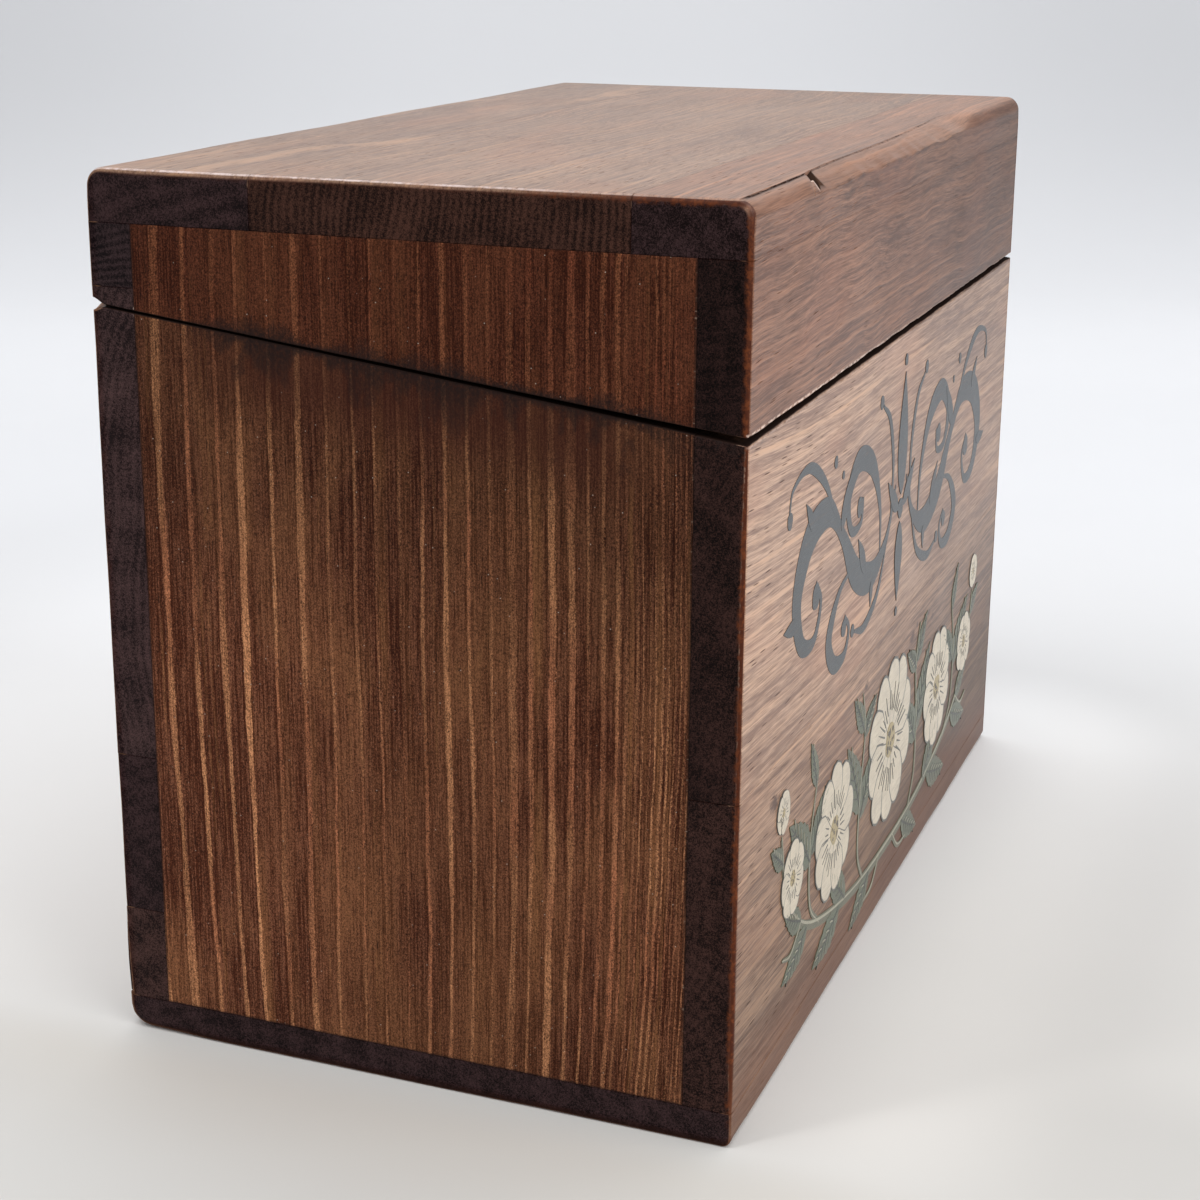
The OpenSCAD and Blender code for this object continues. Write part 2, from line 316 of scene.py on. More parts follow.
class F:
    """A value in a node tree; arithmetic on it makes Math nodes."""

    def __init__(self, g, socket):
        self.g, self.s = g, socket

    def m(self, op, *rest, clamp=False, first=None):
        node = self.g.t.nodes.new("ShaderNodeMath")
        node.operation = op
        node.use_clamp = clamp
        args = (self,) + rest if first is None else (first, self) + rest
        for i, a in enumerate(args):
            self.g.put(node.inputs[i], a)
        return F(self.g, node.outputs[0])

    def __add__(self, o):
        return self.m("ADD", o)

    __radd__ = __add__

    def __mul__(self, o):
        return self.m("MULTIPLY", o)

    __rmul__ = __mul__

    def __sub__(self, o):
        return self.m("SUBTRACT", o)

    def __rsub__(self, o):
        return self.m("SUBTRACT", first=o)

    def __truediv__(self, o):
        return self.m("DIVIDE", o)

    def power(self, o):
        return self.m("POWER", o)

    def floor(self):
        return self.m("FLOOR")

    def fract(self):
        return self.m("FRACT")

    def abs(self):
        return self.m("ABSOLUTE")

    def min(self, o):
        return self.m("MINIMUM", o)

    def max(self, o):
        return self.m("MAXIMUM", o)

    def clamp(self):
        return self.m("ADD", 0.0, clamp=True)

    def step(self, a, b, to0=0.0, to1=1.0, kind="SMOOTHSTEP"):
        node = self.g.t.nodes.new("ShaderNodeMapRange")
        node.interpolation_type = kind
        node.clamp = True
        self.g.put(node.inputs["Value"], self)
        node.inputs["From Min"].default_value = a
        node.inputs["From Max"].default_value = b
        node.inputs["To Min"].default_value = to0
        node.inputs["To Max"].default_value = to1
        return F(self.g, node.outputs["Result"])

    def falling(self, a, b):
        """1 below a, 0 above b."""
        return 1.0 - self.step(a, b)


class Graph:
    def __init__(self, name):
        self.mat = bpy.data.materials.new(name)
        self.mat.use_nodes = True
        self.t = self.mat.node_tree
        self.t.nodes.clear()

    def put(self, socket, value):
        if isinstance(value, F):
            self.t.links.new(value.s, socket)
        elif isinstance(value, bpy.types.NodeSocket):
            self.t.links.new(value, socket)
        else:
            socket.default_value = value

    def new(self, kind, **props):
        node = self.t.nodes.new(kind)
        for k, v in props.items():
            setattr(node, k, v)
        return node

    def place(self):
        """Object coordinates in mm, as x, y, z."""
        tc = self.new("ShaderNodeTexCoord")
        sep = self.new("ShaderNodeSeparateXYZ")
        self.t.links.new(tc.outputs["Object"], sep.inputs[0])
        return tuple(F(self, sep.outputs[i]) * 1000.0 for i in range(3))

    def normal(self):
        geo = self.new("ShaderNodeNewGeometry")
        sep = self.new("ShaderNodeSeparateXYZ")
        self.t.links.new(geo.outputs["Normal"], sep.inputs[0])
        return tuple(F(self, sep.outputs[i]) for i in range(3))

    def vec(self, x, y, z):
        node = self.new("ShaderNodeCombineXYZ")
        for i, v in enumerate((x, y, z)):
            self.put(node.inputs[i], v)
        return node.outputs[0]

    def noise(self, x, y, z, detail=2.0, rough=0.5, dist=0.0):
        node = self.new("ShaderNodeTexNoise", noise_dimensions="3D")
        self.t.links.new(self.vec(x, y, z), node.inputs["Vector"])
        node.inputs["Scale"].default_value = 1.0
        node.inputs["Detail"].default_value = detail
        node.inputs["Roughness"].default_value = rough
        node.inputs["Distortion"].default_value = dist
        return F(self, node.outputs[0])

    def rand(self, w):
        node = self.new("ShaderNodeTexWhiteNoise", noise_dimensions="1D")
        self.put(node.inputs["W"], w)
        return F(self, node.outputs["Value"])

    def cells(self, x, y, z, randomness=1.0):
        """Distance to the nearest of scattered points, and that point's random number."""
        node = self.new("ShaderNodeTexVoronoi", voronoi_dimensions="3D", feature="F1")
        self.t.links.new(self.vec(x, y, z), node.inputs["Vector"])
        node.inputs["Scale"].default_value = 1.0
        node.inputs["Randomness"].default_value = randomness
        sep = self.new("ShaderNodeSeparateColor")
        self.t.links.new(node.outputs["Color"], sep.inputs[0])
        return F(self, node.outputs["Distance"]), F(self, sep.outputs[0])

    def curve(self, value, points):
        node = self.new("ShaderNodeFloatCurve")
        c = node.mapping.curves[0]
        while len(c.points) < len(points):
            c.points.new(0.5, 0.5)
        for p, (x, y) in zip(c.points, points):
            p.location = (x, y)
            p.handle_type = "AUTO"
        node.mapping.update()
        self.put(node.inputs["Value"], value)
        return F(self, node.outputs[0])

    def mix(self, fac, a, b, blend="MIX"):
        node = self.new("ShaderNodeMix", data_type="RGBA", blend_type=blend)
        node.clamp_factor = True
        for i, v in ((0, fac), (6, a), (7, b)):
            if isinstance(v, tuple) and len(v) == 3:
                v = v + (1.0,)
            self.put(node.inputs[i], v)
        return node.outputs[2]

    def scale_colour(self, colour, k):
        node = self.new("ShaderNodeVectorMath", operation="SCALE")
        self.put(node.inputs[0], colour)
        self.put(node.inputs["Scale"], k)
        return node.outputs[0]

    def bump(self, height, distance, strength=1.0, normal=None):
        node = self.new("ShaderNodeBump")
        node.inputs["Strength"].default_value = strength
        node.inputs["Distance"].default_value = distance
        self.put(node.inputs["Height"], height)
        if normal is not None:
            self.t.links.new(normal, node.inputs["Normal"])
        return node.outputs[0]

    def surface(self, colour, rough, normal=None, metallic=0.0, level=0.25, coat=0.0, coat_rough=0.2, aniso=0.0):
        b = self.new("ShaderNodeBsdfPrincipled")
        out = self.new("ShaderNodeOutputMaterial")
        self.put(b.inputs["Base Color"], colour if not isinstance(colour, tuple) else colour + (1.0,))
        self.put(b.inputs["Roughness"], rough)
        b.inputs["Metallic"].default_value = metallic
        b.inputs["IOR"].default_value = 1.5
        self.put(b.inputs["Specular IOR Level"], level)
        b.inputs["Coat Weight"].default_value = coat
        b.inputs["Coat Roughness"].default_value = coat_rough
        if normal is not None:
            self.t.links.new(normal, b.inputs["Normal"])
        self.t.links.new(b.outputs[0], out.inputs[0])
        return self.mat


# ---------------------------------------------------------------- wood


def side_grain(g, place, offset, pith, spacing, light, dark, bow=2.0, ripple=1.0, ripple_x=0.035, line=0.9, narrow=0.45, patch=0.2, fibre=1.0, warm=0.35,
               pores=0.65, tilt=0.0):
    """Colour and relief of a board's long faces, grain along X. pith is the (Y, Z) of the rings' middle, spacing their distance apart, in mm."""
    x, y, z = place
    ox = offset * 37.7
    if tilt:  # the grain runs down away from the near end
        bend = (x + 20.0).max(-60.0).min(0.0)
        z = z - bend * bend * (tilt / 80.0)
    # the grain wanders along the board; rings that lie close together wander alike
    slow = g.noise(x * 0.009 + ox, y * 0.02, z * 0.02, 1.0) - 0.5
    rip = g.noise(x * ripple_x + ox + 9.0, y * 0.06, z * 0.06, 1.0, 0.5) - 0.5
    rip2 = g.noise(x * 0.13 + ox, y * 0.22, z * 0.22 + 3.0, 1.0) - 0.5
    shift = slow * (4.0 * bow) + rip * (3.2 * ripple) + rip2 * (0.8 * ripple)
    yw, zw = y + shift * 0.6, z + shift
    dy, dz = yw - pith[0], zw - pith[1]
    r = (dy * dy + dz * dz).m("SQRT")
    uneven_rings = g.noise(r * 0.16 + ox, 2.0, 5.0, 2.0, 0.6) - 0.5
    u = (r + uneven_rings * (3.0 * spacing)) / spacing
    ring, ph = u.floor(), u.fract()
    lot = g.rand(ring + offset * 13.0)
    # each ring: slow rise to a narrow pale line of late wood, then a crisp drop
    late = ph.step(narrow, 0.86) * ph.falling(0.90, 0.99)
    come = g.noise(x * 0.030 + ox, ring * 5.13, 0.0, 2.0, 0.6).step(0.38, 0.60)
    late = late * (0.25 + 0.75 * lot) * (0.15 + 0.85 * come)

    run = g.noise(x * 0.020 + ox, yw * 0.85, zw * 0.85, 4.0, 0.62)
    thread = g.noise(x * 0.050 + ox, yw * 2.8, zw * 2.8, 3.0, 0.68)
    hair = g.noise(x * 0.20 + ox, yw * 7.0, zw * 7.0, 2.0, 0.6)
    broad = g.noise(x * 0.020 + ox, y * 0.05, z * 0.05, 2.0, 0.5)
    tone = 0.44 + (broad - 0.5) * (3.0 * patch) + (late - 0.18) * line + (run - 0.5) * (1.35 * fibre) + (thread - 0.5) * (1.8 * fibre)
    tone = (tone + (hair - 0.5) * (1.7 * fibre)).clamp()
    face = g.mix(tone, dark, light)
    # warmer in the pale lines, with redder and greyer drifts in the stain
    face = g.mix((late * tone).clamp() * warm, face, (light[0] * 1.10, light[1] * 0.90, light[2] * 0.62))
    drift = g.noise(x * 0.03 + ox, y * 0.09 + 4.0, z * 0.09, 2.0)
    face = g.mix(drift.step(0.52, 0.7) * 0.22, face, (light[0] * 0.92, light[1] * 0.70, light[2] * 0.62))
    face = g.mix(drift.falling(0.32, 0.47) * 0.18, face, (light[0] * 0.66, light[1] * 0.7, light[2] * 0.76))
    # short dark pores lying along the grain
    pd, pr = g.cells(x * 0.17 + ox, yw * 2.3, zw * 2.3)
    pore = pd.falling(0.10, 0.28) * pr.step(0.30, 0.45) * g.noise(x * 0.04 + ox, yw * 0.35, zw * 0.35, 2.0).step(0.36, 0.54)
    pore = pore * x.falling(-70, 30).max(0.25)
    face = g.mix(pore * pores, face, (dark[0] * 0.4, dark[1] * 0.35, dark[2] * 0.35))
    return face, late, thread, run, pore


def long_board(name, offset, side, end_light, end_dark, end_spacing=2.0, end_line=0.5, end_gain=1.0, end_pith=None, front=None,
               spots=(), band=None, rough=0.34, soot=None, level=0.26, painted_shade=None, cut=None, extra=None):
    """Board with its grain along X. side is what side_grain takes; front, if given, is (offset, side) for its front face."""
    g = Graph(name)
    x, y, z = g.place()
    nx, ny, nz = g.normal()
    ox = offset * 37.7
    df, dk, dt, db = y + D2, D2 - y, H - z, z
    out = df.min(dk).min(dt).min(db)
    dx = W2 - x.abs()
    end = nx.abs().step(0.80, 0.97).max(dx.falling(0.35, 0.7) * out.step(1.1, 1.7))

    face, late, thread, run, pore = side_grain(g, (x, y, z), offset, **side)
    if front:
        face2, late2, thread2, run2, pore2 = side_grain(g, (x, y, z), front[0], **front[1])
        turn = (ny * -1.0).step(0.45, 0.85).max(df.falling(0.6, 1.6) * dt.step(2.2, 3.6))
        face = g.mix(turn, face, face2)
    # painted shade: the faces' colour is scaled by the given function (on the front partly a darker stain low down)
    if painted_shade:
        face = g.scale_colour(face, painted_shade(x, y, z, ny))

    # end grain: dark and mottled, the rings only soft bands in it, with open pores
    pith = end_pith or side["pith"]
    dy, dz = y - pith[0], z - pith[1]
    r = (dy * dy + dz * dz).m("SQRT") + (g.noise(x * 0.02 + ox, y * 0.05, z * 0.05, 1.0) - 0.5) * 5.0
    u = r / end_spacing
    lot = g.rand(u.floor() + offset * 13.0)
    wave = (u * 6.2832).m("SINE") * 0.5
    grit = g.noise(x * 2.0, y * 3.0 + ox, z * 3.0, 3.0, 0.75)
    fleck = g.noise(x * 2.0, y * 8.0 + ox, z * 8.0, 1.0)
    mott = g.noise(x * 0.5, y * 0.24 + ox, z * 0.24, 3.0, 0.6)
    across = dz.m("ARCTAN2", dy) * (r * 0.05 + 14.0)
    ray = g.noise(x * 0.6, across * 1.3 + ox, r * 0.18, 2.0, 0.55)
    e_tone = 0.38 + wave * (0.46 * end_line) * (0.4 + 0.6 * lot) + (grit - 0.5) * 2.2 + (fleck - 0.5) * 2.2 + (mott - 0.5) * 0.55 + (ray - 0.5) * 1.1
    e_tone = (e_tone * end_gain).clamp()
    grain_end = g.mix(e_tone, end_dark, end_light)
    cd, cr = g.cells(x * 0.6, y * 2.4 + ox, z * 2.4)
    hole = cd.falling(0.12, 0.28) * cr.step(0.60, 0.7)
    grain_end = g.mix(hole * 0.7, grain_end, (end_dark[0] * 0.35, end_dark[1] * 0.3, end_dark[2] * 0.3))
    colour = g.mix(end, face, grain_end)

    # sanding has rubbed the stain thin on the rounded arrises of the ends, down to orange along the front one
    wear_noise = g.noise(x * 0.35, y * 0.30, z * 0.30, 3.0, 0.6)
    fine_wear = g.noise(x * 1.6, y * 1.3, z * 1.3, 3.0, 0.7)
    upper = nz.step(0.05, 0.3) * dt.falling(1.0, 2.2)
    rounding = dx.falling(0.9, 1.3) * out.falling(0.5, 1.2)
    rubbed = (y + D2).falling(8, 34) * z.step(2, 7)
    on_arris = (dx + (wear_noise - 0.5) * 0.22 + (fine_wear - 0.5) * 0.26).step(0.035, 0.14) * out.step(0.18, 0.27) * rounding
    colour = g.mix(on_arris * (0.35 + 0.65 * rubbed), colour, (0.062, 0.0165, 0.0080))
    colour = g.mix(on_arris * rubbed * fine_wear.step(0.47, 0.64) * wear_noise.step(0.36, 0.62, 0.30, 1.0), colour, (0.190, 0.050, 0.0145))
    rim = dx.falling(0.2, 0.7) * out.falling(0.5, 1.15) * wear_noise.step(0.34, 0.6) * fine_wear.step(0.35, 0.6)
    colour = g.mix(rim * rubbed * 0.65, colour, (0.095, 0.028, 0.012))
    # pale band on the upper rounded arris of the ends: partly bare wood, partly a painted highlight; the same mask
    # makes the arris glossier
    polish_and_painted_highlight = rounding * upper * (y + D2).step(3, 46, 0.12, 1.0) * nx.abs().step(0.10, 0.25) * nx.abs().falling(0.52, 0.70) * fine_wear.step(0.36, 0.57, 0.25, 1.0)
    colour = g.mix(polish_and_painted_highlight * wear_noise.step(0.30, 0.55, 0.40, 0.90), colour, (0.61, 0.485, 0.455))
    # painted shade: the rounded bottom edge of each end is darkened where it meets the table
    colour = g.mix(dx.falling(0.5, 1.0) * db.falling(0.5, 1.2) * 0.7, colour, (0.020, 0.0095, 0.0075))
    at_seam = (dt - TOP_T).abs().min((z - BOTTOM_T).abs())
    at_seam = at_seam.min((z - FRONT_LINE).abs() + (df - FRONT_T).max(0.0))
    for level_z in (BACK_1, BACK_2, BACK_3):
        at_seam = at_seam.min((z - level_z).abs() + (dk - BACK_T).max(0.0))
    for level_y in (TOP_BACK, TOP_FRONT):
        at_seam = at_seam.min((y - level_y).abs() + (dt - TOP_T).max(0.0))
    seam = at_seam.falling(0.05, 0.13) * dx.falling(0.9, 1.5)
    colour = g.mix(seam * (0.22 + 0.18 * out.falling(0.5, 1.3)), colour, (0.012, 0.006, 0.005))
    long_edge = df.min(dk).falling(0.3, 1.4) * dt.min(db).falling(0.3, 1.4)
    colour = g.mix(long_edge * wear_noise.step(0.42, 0.62) * 0.5, colour, (0.30, 0.13, 0.07))

    # inside of the box: the same stain, thinner and without lacquer
    inner = (x.abs().falling(W2 - END_T - 0.02, W2 - END_T + 0.02)) * (y.step(-D2 + 6.3, -D2 + 6.38)) * (y.falling(D2 - 5.98, D2 - 5.9)) \
        * z.step(BOTTOM_T - 0.06, BOTTOM_T - 0.02) * z.falling(H - TOP_T + 0.02, H - TOP_T + 0.06)
    colour = g.mix(inner * 0.5, colour, (0.30, 0.17, 0.10))
    for sx, sy, sz, size, depth in spots:
        dd = ((x - sx) * (x - sx) * 0.35 + (y - sy) * (y - sy) + (z - sz) * (z - sz)).m("SQRT")
        jag = g.noise(x * 1.1, y * 1.1, z * 1.9, 3.0, 0.7)
        colour = g.mix((dd + (jag - 0.5) * (size * 1.9)).falling(size * 0.3, size) * depth, colour, (0.050, 0.018, 0.012))
    # darker band low down: partly the stain, partly painted shade
    if band:
        dark = side["dark"]
        colour = g.mix(band(g, x, y, z) * (1.0 - end), colour, (dark[0] * 0.75, dark[1] * 0.52, dark[2] * 0.42))
    if soot:
        colour = g.mix(soot(g, x, y, z), colour, (0.020, 0.014, 0.013))
    if cut:  # the sawn face is darker, with painted shade inside the saw gap near its outer edge, partly soot, and a painted glint along the arris of the front
        d = cut(y, z)
        rag = g.noise(x * 0.9, y * 0.9, z * 2.0, 3.0, 0.65)
        # painted glint: a pale line along the arris of the front
        painted_glint = d.step(0.08, 0.20) * d.falling(0.26, 0.55) * (ny * -1.0).step(0.4, 0.7) * rag.step(0.40, 0.56) * x.falling(-44, 24)
        colour = g.mix(painted_glint * (0.85 if cut is above_lid else 0.25), colour, (0.80, 0.60, 0.50))
        edge = dx.min(df).min(dk)
        sawn = d.falling(0.02, 0.12)
        colour = g.mix(sawn * rag.step(0.3, 0.7, 0.78, 0.92), colour, (0.060, 0.0300, 0.0185))
        # painted shade inside the saw gap: the sawn face blackened near its outer edge, partly soot
        colour = g.mix(sawn * (edge + (rag - 0.5) * 1.6).falling(0.9, 2.6) * 0.92, colour, (0.013, 0.007, 0.006))
    matte = None
    if extra:
        colour, matte = extra(g, x, y, z, nx, ny, nz, colour)

    rough_v = rough + (run - 0.5) * 0.10 + end * 0.20 + inner * 0.25 + pore * 0.2 - polish_and_painted_highlight * 0.18
    relief = late * 0.5 * (1.0 - end) + thread * (0.6 * (1.0 - end)) + run * 0.4 - pore * 0.8 + grit * (0.9 * end) - hole * (1.2 * end)
    n1 = g.bump(g.noise(x * 0.03 + ox, y * 0.045, z * 0.045, 1.0), 0.0012, 0.5)
    n2 = g.bump(relief, 0.00006, 0.55, n1)
    if cut:
        rough_v = rough_v.max(sawn * 0.78)
    shine = level(z) if callable(level) else level
    shine = shine - end.max(on_arris) * (shine - 0.06) + polish_and_painted_highlight * 0.3
    dull = dx.falling(0.9, 1.4) * dk.falling(0.8, 1.6).max(db.falling(0.8, 1.6)).max(x.step(0, 10) * out.falling(0.8, 1.6))
    shine = shine * (1.0 - dull * (1.0 - polish_and_painted_highlight) * 0.93) * (1.0 - seam)
    if matte is not None:
        shine = shine * (1.0 - matte)
    if cut:
        shine = shine * (1.0 - sawn * 0.9)
    return g.surface(colour, rough_v, n2, level=shine)


def end_panel(name, offset, cut, lid=False):
    """Panel with its grain upright: narrow pale lines 3 to 4 mm apart at the back and under 1 mm at the front, on a dark ground."""
    dark, mid, gold, pale, red = LID_END_PAINTED_SHADE if lid else PANEL
    g = Graph(name)
    x, y, z = g.place()
    nx, ny, nz = g.normal()
    ox = offset * 29.3
    # the lines bow outwards at mid-height and close up towards the bottom
    low = ((60.0 - z) / 60.0).max(0.0).power(1.6)
    high = ((z - 60.0) / 50.0).max(0.0)
    yy = y * (1.0 + low * 0.065) + high * high * 1.1 * y.step(-8, 20)
    wander = g.noise(x * 0.05 + ox, y * 0.030, z * 0.014, 1.0, 0.5) - 0.5
    waver = g.noise(x * 0.1 + ox, y * 0.11, z * 0.050, 2.0, 0.5) - 0.5
    yy = yy + wander * 2.4 + waver * 0.9
    periods = ((-40, 0.60), (-33, 0.70), (-28.5, 0.95), (-25, 1.9), (-18, 2.5), (-8, 2.9), (2, 3.2), (14, 3.7), (40, 4.1))
    at = np.linspace(-40, 40, 161)
    per = np.interp(at, [a for a, _ in periods], [b for _, b in periods])
    count = np.concatenate([[0], np.cumsum((0.5 / per[1:] + 0.5 / per[:-1]) * 0.5)])
    rings = float(count[-1])
    stops = (-40, -36, -32, -28, -24, -20, -15, -8, 0, 10, 20, 30, 40)
    along = ((yy + 40.0) / 80.0).clamp()
    u = g.curve(along, [((a + 40) / 80, float(np.interp(a, at, count)) / rings) for a in stops]) * rings
    period = g.curve(along, [((a + 40) / 80, float(np.interp(a, at, per)) / 5) for a in stops]) * 5.0
    ring, ph = u.floor(), u.fract()
    lot = g.rand(ring + 3.0 + offset)
    lot2 = g.rand(ring * 1.7 + 40.0 + offset)
    lot3 = g.rand(ring * 2.3 + 90.0 + offset)
    grain = g.noise(x * 3.0 + ox, y * 4.2, z * 3.4, 2.0, 0.65)
    fray = g.noise(x * 0.2 + ox, y * 1.5, z * 0.30, 3.0, 0.6) - 0.5
    # distance from the middle of each ring's pale line, in mm
    off = (ph - (0.58 + 0.24 * lot)) * period + fray * 0.34 + (grain - 0.5) * 0.34
    swell = g.noise(ring * 7.31, z * 0.030 + ox, 0.0, 2.0, 0.6)
    half = (0.13 + 0.40 * lot2) * swell.step(0.28, 0.68, 0.45, 1.35) * (period * 0.36).min(1.0)
    line = (off.abs() - half).falling(-0.10, 0.10)
    fade = g.noise(ring * 3.7 + 11.0, z * 0.022 + ox, 4.0, 3.0, 0.6).step(0.33, 0.58)
    line = line * (0.45 + 0.55 * lot3) * (0.35 + 0.65 * fade)
    # a golden shoulder on the front side of some lines, and a darker furrow on the other
    inside = off * -1.0
    fade2 = g.noise(ring * 5.1, z * 0.018 + ox, 9.0, 2.0, 0.6).step(0.42, 0.62)
    shoulder = inside.step(0.05, 0.5) * inside.falling(0.8, 2.0) * lot.step(0.3, 0.8) * fade2
    furrow = (off - half).step(0.0, 0.12) * (off - half).falling(0.12, 0.55) * (period * 0.36).min(1.0)
    # faint hair lines between
    u2 = u * 4.0 + lot * 1.3
    ph2 = u2.fract()
    sub = ph2.step(0.45, 0.80) * ph2.falling(0.86, 0.98) * g.rand(u2.floor() + 7.0).step(0.45, 0.95) * y.step(-26, -16)
    sub = sub * g.noise(u2.floor() * 1.9, z * 0.05 + ox, 2.0, 2.0, 0.6).step(0.42, 0.62)

    broad = g.noise(x * 0.03 + ox, y * 0.045, z * 0.016, 2.0, 0.5)
    cloud = g.noise(x * 0.1 + ox, y * 0.13, z * 0.05 + 7.0, 3.0, 0.55)
    thread = g.noise(x * 1.0 + ox, y * 3.2, z * 0.060, 4.0, 0.68)
    hair = g.noise(x * 2.0 + ox, y * 8.5, z * 0.22, 2.0, 0.6)
    speck = g.noise(x * 3.0 + ox, y * 6.5, z * 5.2, 2.0, 0.75)
    tone = 0.43 + (broad - 0.5) * 1.2 + (cloud - 0.5) * 1.2 + (thread - 0.5) * 3.4 + (hair - 0.5) * 2.3 - furrow * 0.30 + (speck - 0.5) * 2.2
    colour = g.mix(tone.clamp(), dark, mid)
    golden = (shoulder * 0.95 + sub * 0.60 + (broad - 0.51).max(0.0) * 3.6 + (cloud - 0.51).max(0.0) * 2.6).clamp() * (0.75 + (hair - 0.5) * 2.0 + (thread - 0.5) * 1.5).clamp()
    colour = g.mix(golden, colour, gold)
    redness = g.noise(x * 0.1 + ox, y * 0.10 + 3.0, z * 0.045, 2.0).step(0.44, 0.66)
    strength = line * (0.84 + (hair - 0.5) * 2.4 + (speck - 0.5) * 2.2)
    colour = g.mix(strength.clamp() * (1.0 - redness), colour, pale)
    colour = g.mix(strength.clamp() * redness, colour, red)
    level = (1.0 + (speck - 0.5) * 2.7 + (grain - 0.5) * 1.5).max(0.3)
    # darker at the very bottom; on the body's panels painted shade darkens them high up, and towards the back below
    # mid-height they are lighter
    level = level * (1.0 - z.falling(2, 16) * 0.10)
    if not lid:
        level = level * (1.0 - (z + (cloud - 0.5) * 40.0).step(50, 82) * (0.26 + 0.14 * y.falling(-20, 4)))
        level = level * (1.0 + y.step(-4, 22) * z.falling(52, 92) * 0.32)
    colour = g.scale_colour(colour, level)
    # long dark slits and small pits
    sd, sr = g.cells(x * 0.5 + ox, y * 2.2, z * 0.17)
    slit = sd.falling(0.06, 0.17) * sr.step(0.70, 0.76)
    colour = g.mix(slit * 0.75, colour, (dark[0] * 0.30, dark[1] * 0.25, dark[2] * 0.25))
    qd, qr = g.cells(x * 1.0 + ox, y * 1.3, z * 0.9)
    pit = qd.falling(0.05, 0.12) * qr.step(0.84, 0.9)
    colour = g.mix(pit * 0.85, colour, (0.010, 0.006, 0.005))
    # a few pale specks of dust in the lacquer
    dd, dr = g.cells(x * 1.0 + ox + 5.0, y * 0.62, z * 0.62)
    dust = dd.falling(0.02, 0.065) * dr.step(0.72, 0.86)
    colour = g.mix(dust * 0.8, colour, (0.50, 0.41, 0.34))

    # edge of the panel where it meets the frame
    df, dk = y + D2 - FRONT_T, D2 - BACK_T - y
    rimline = df.min(dk).min(z - BOTTOM_T)
    colour = g.mix(rimline.falling(0.05, 0.35) * 0.6, colour, (0.014, 0.008, 0.007))
    glue = df.falling(0.14, 0.30) * g.noise(x * 0.5, 3.0, z * 1.4 + ox, 3.0, 0.75).step(0.56, 0.68)
    colour = g.mix(glue * 0.55, colour, (0.36, 0.27, 0.21))
    inner = x.abs().falling(W2 - END_T + 0.02, W2 - END_T + 0.2)
    colour = g.mix(inner * 0.45, colour, (0.30, 0.17, 0.10))
    # soot in the lacquer along the saw cut
    d = cut(y, z)
    patchy = g.noise(x * 0.4, y * 0.17 + 2.0, z * 0.10, 3.0, 0.6)
    grit = g.noise(x * 2.0, y * 2.4, z * 2.0, 2.0, 0.7)
    reach = patchy.step(0.36, 0.66, 0.8, 2.6 if lid else 7.0) + (grit - 0.5) * 2.0 + (hair - 0.5) * 2.0
    s = (1.0 - (d / reach.max(0.3))).clamp().power(0.7)
    s = s * y.falling(22, 32) * y.step(-39, -28) * grit.step(0.28, 0.60, 0.55, 1.0) * (1.0 - inner)
    if not lid:  # the lacquer is darker and redder for some way below
        below = d.falling(3, 13) * y.falling(16, 36) * y.step(-36, -22) * (0.45 + patchy * 0.5) * (1.0 - inner)
        colour = g.mix(below, colour, (0.046, 0.0125, 0.0075))
    s = s.max(d.falling(0.03, 0.16) * 0.6 * (1.0 - inner))
    sawn = d.falling(0.02, 0.12)
    colour = g.mix(sawn * patchy.step(0.3, 0.7, 0.72, 0.9), colour, (0.062, 0.0310, 0.0190))
    # painted shade inside the saw gap: the sawn face is blackened near the outer face
    s = s.max(sawn * (x.abs() + (patchy - 0.5) * 2.0).step(W2 - 2.6, W2 - 1.0) * 0.94)
    colour = g.mix(s * 0.92, colour, (0.013, 0.0085, 0.008))
    rough_v = (0.42 + (thread - 0.5) * 0.14 + inner * 0.25 + (1.0 - line) * 0.04).max(sawn * 0.8)
    relief = line * 0.7 + thread * 0.5 + hair * 0.25 + speck * 0.25 - slit * 1.2 - pit * 1.4
    n1 = g.bump(g.noise(x * 0.03, y * 0.05, z * 0.03 + ox, 1.0), 0.0010, 0.5)
    n2 = g.bump(relief, 0.00007, 0.55, n1)
    return g.surface(colour, rough_v, n2, level=0.065 - sawn * 0.055)


def below_rim(y, z):
    return (y + D2) * ((RIM_B - RIM_F) / (2 * D2)) + RIM_F - z


def above_lid(y, z):
    return z - LID_F - (y + D2) * ((LID_B - LID_F) / (2 * D2))


def front_painted_shade(x, y, z, ny):
    """Darker low down and towards the far end: painted shade, and low down partly the stain."""
    return 1.0 - ((z.falling(6, 58) * 0.46 + x.step(-62, 60) * 0.28) * (ny * -1.0).step(0.3, 0.8))


def front_level(z):
    """The lacquer has lost some of its shine low down."""
    return 0.30 - z.falling(8, 62) * 0.21


def rail_painted_shade(x, y, z, ny):
    # painted shade: the front face of the lid's front rail darkens towards the far end
    return 1.0 - x.step(-66, 72) * 0.44 * (ny * -1.0).step(0.3, 0.8)


def top_painted_shade(x, y, z, ny):
    # painted shade: the top darkens towards the far end
    return 0.975 - x.step(-10, 76) * 0.09


FRONT_LIGHT, FRONT_DARK = (0.53, 0.330, 0.222), (0.165, 0.080, 0.047)
TOP_LIGHT, TOP_DARK = (0.44, 0.270, 0.178), (0.170, 0.096, 0.065)
LID_LIGHT, LID_DARK = (0.335, 0.172, 0.109), (0.104, 0.045, 0.027)
END_LIGHT, END_DARK = (0.062, 0.0285, 0.0230), (0.0050, 0.0022, 0.0020)
END_GREY, END_BLACK = (0.055, 0.029, 0.030), (0.0060, 0.0032, 0.0034)
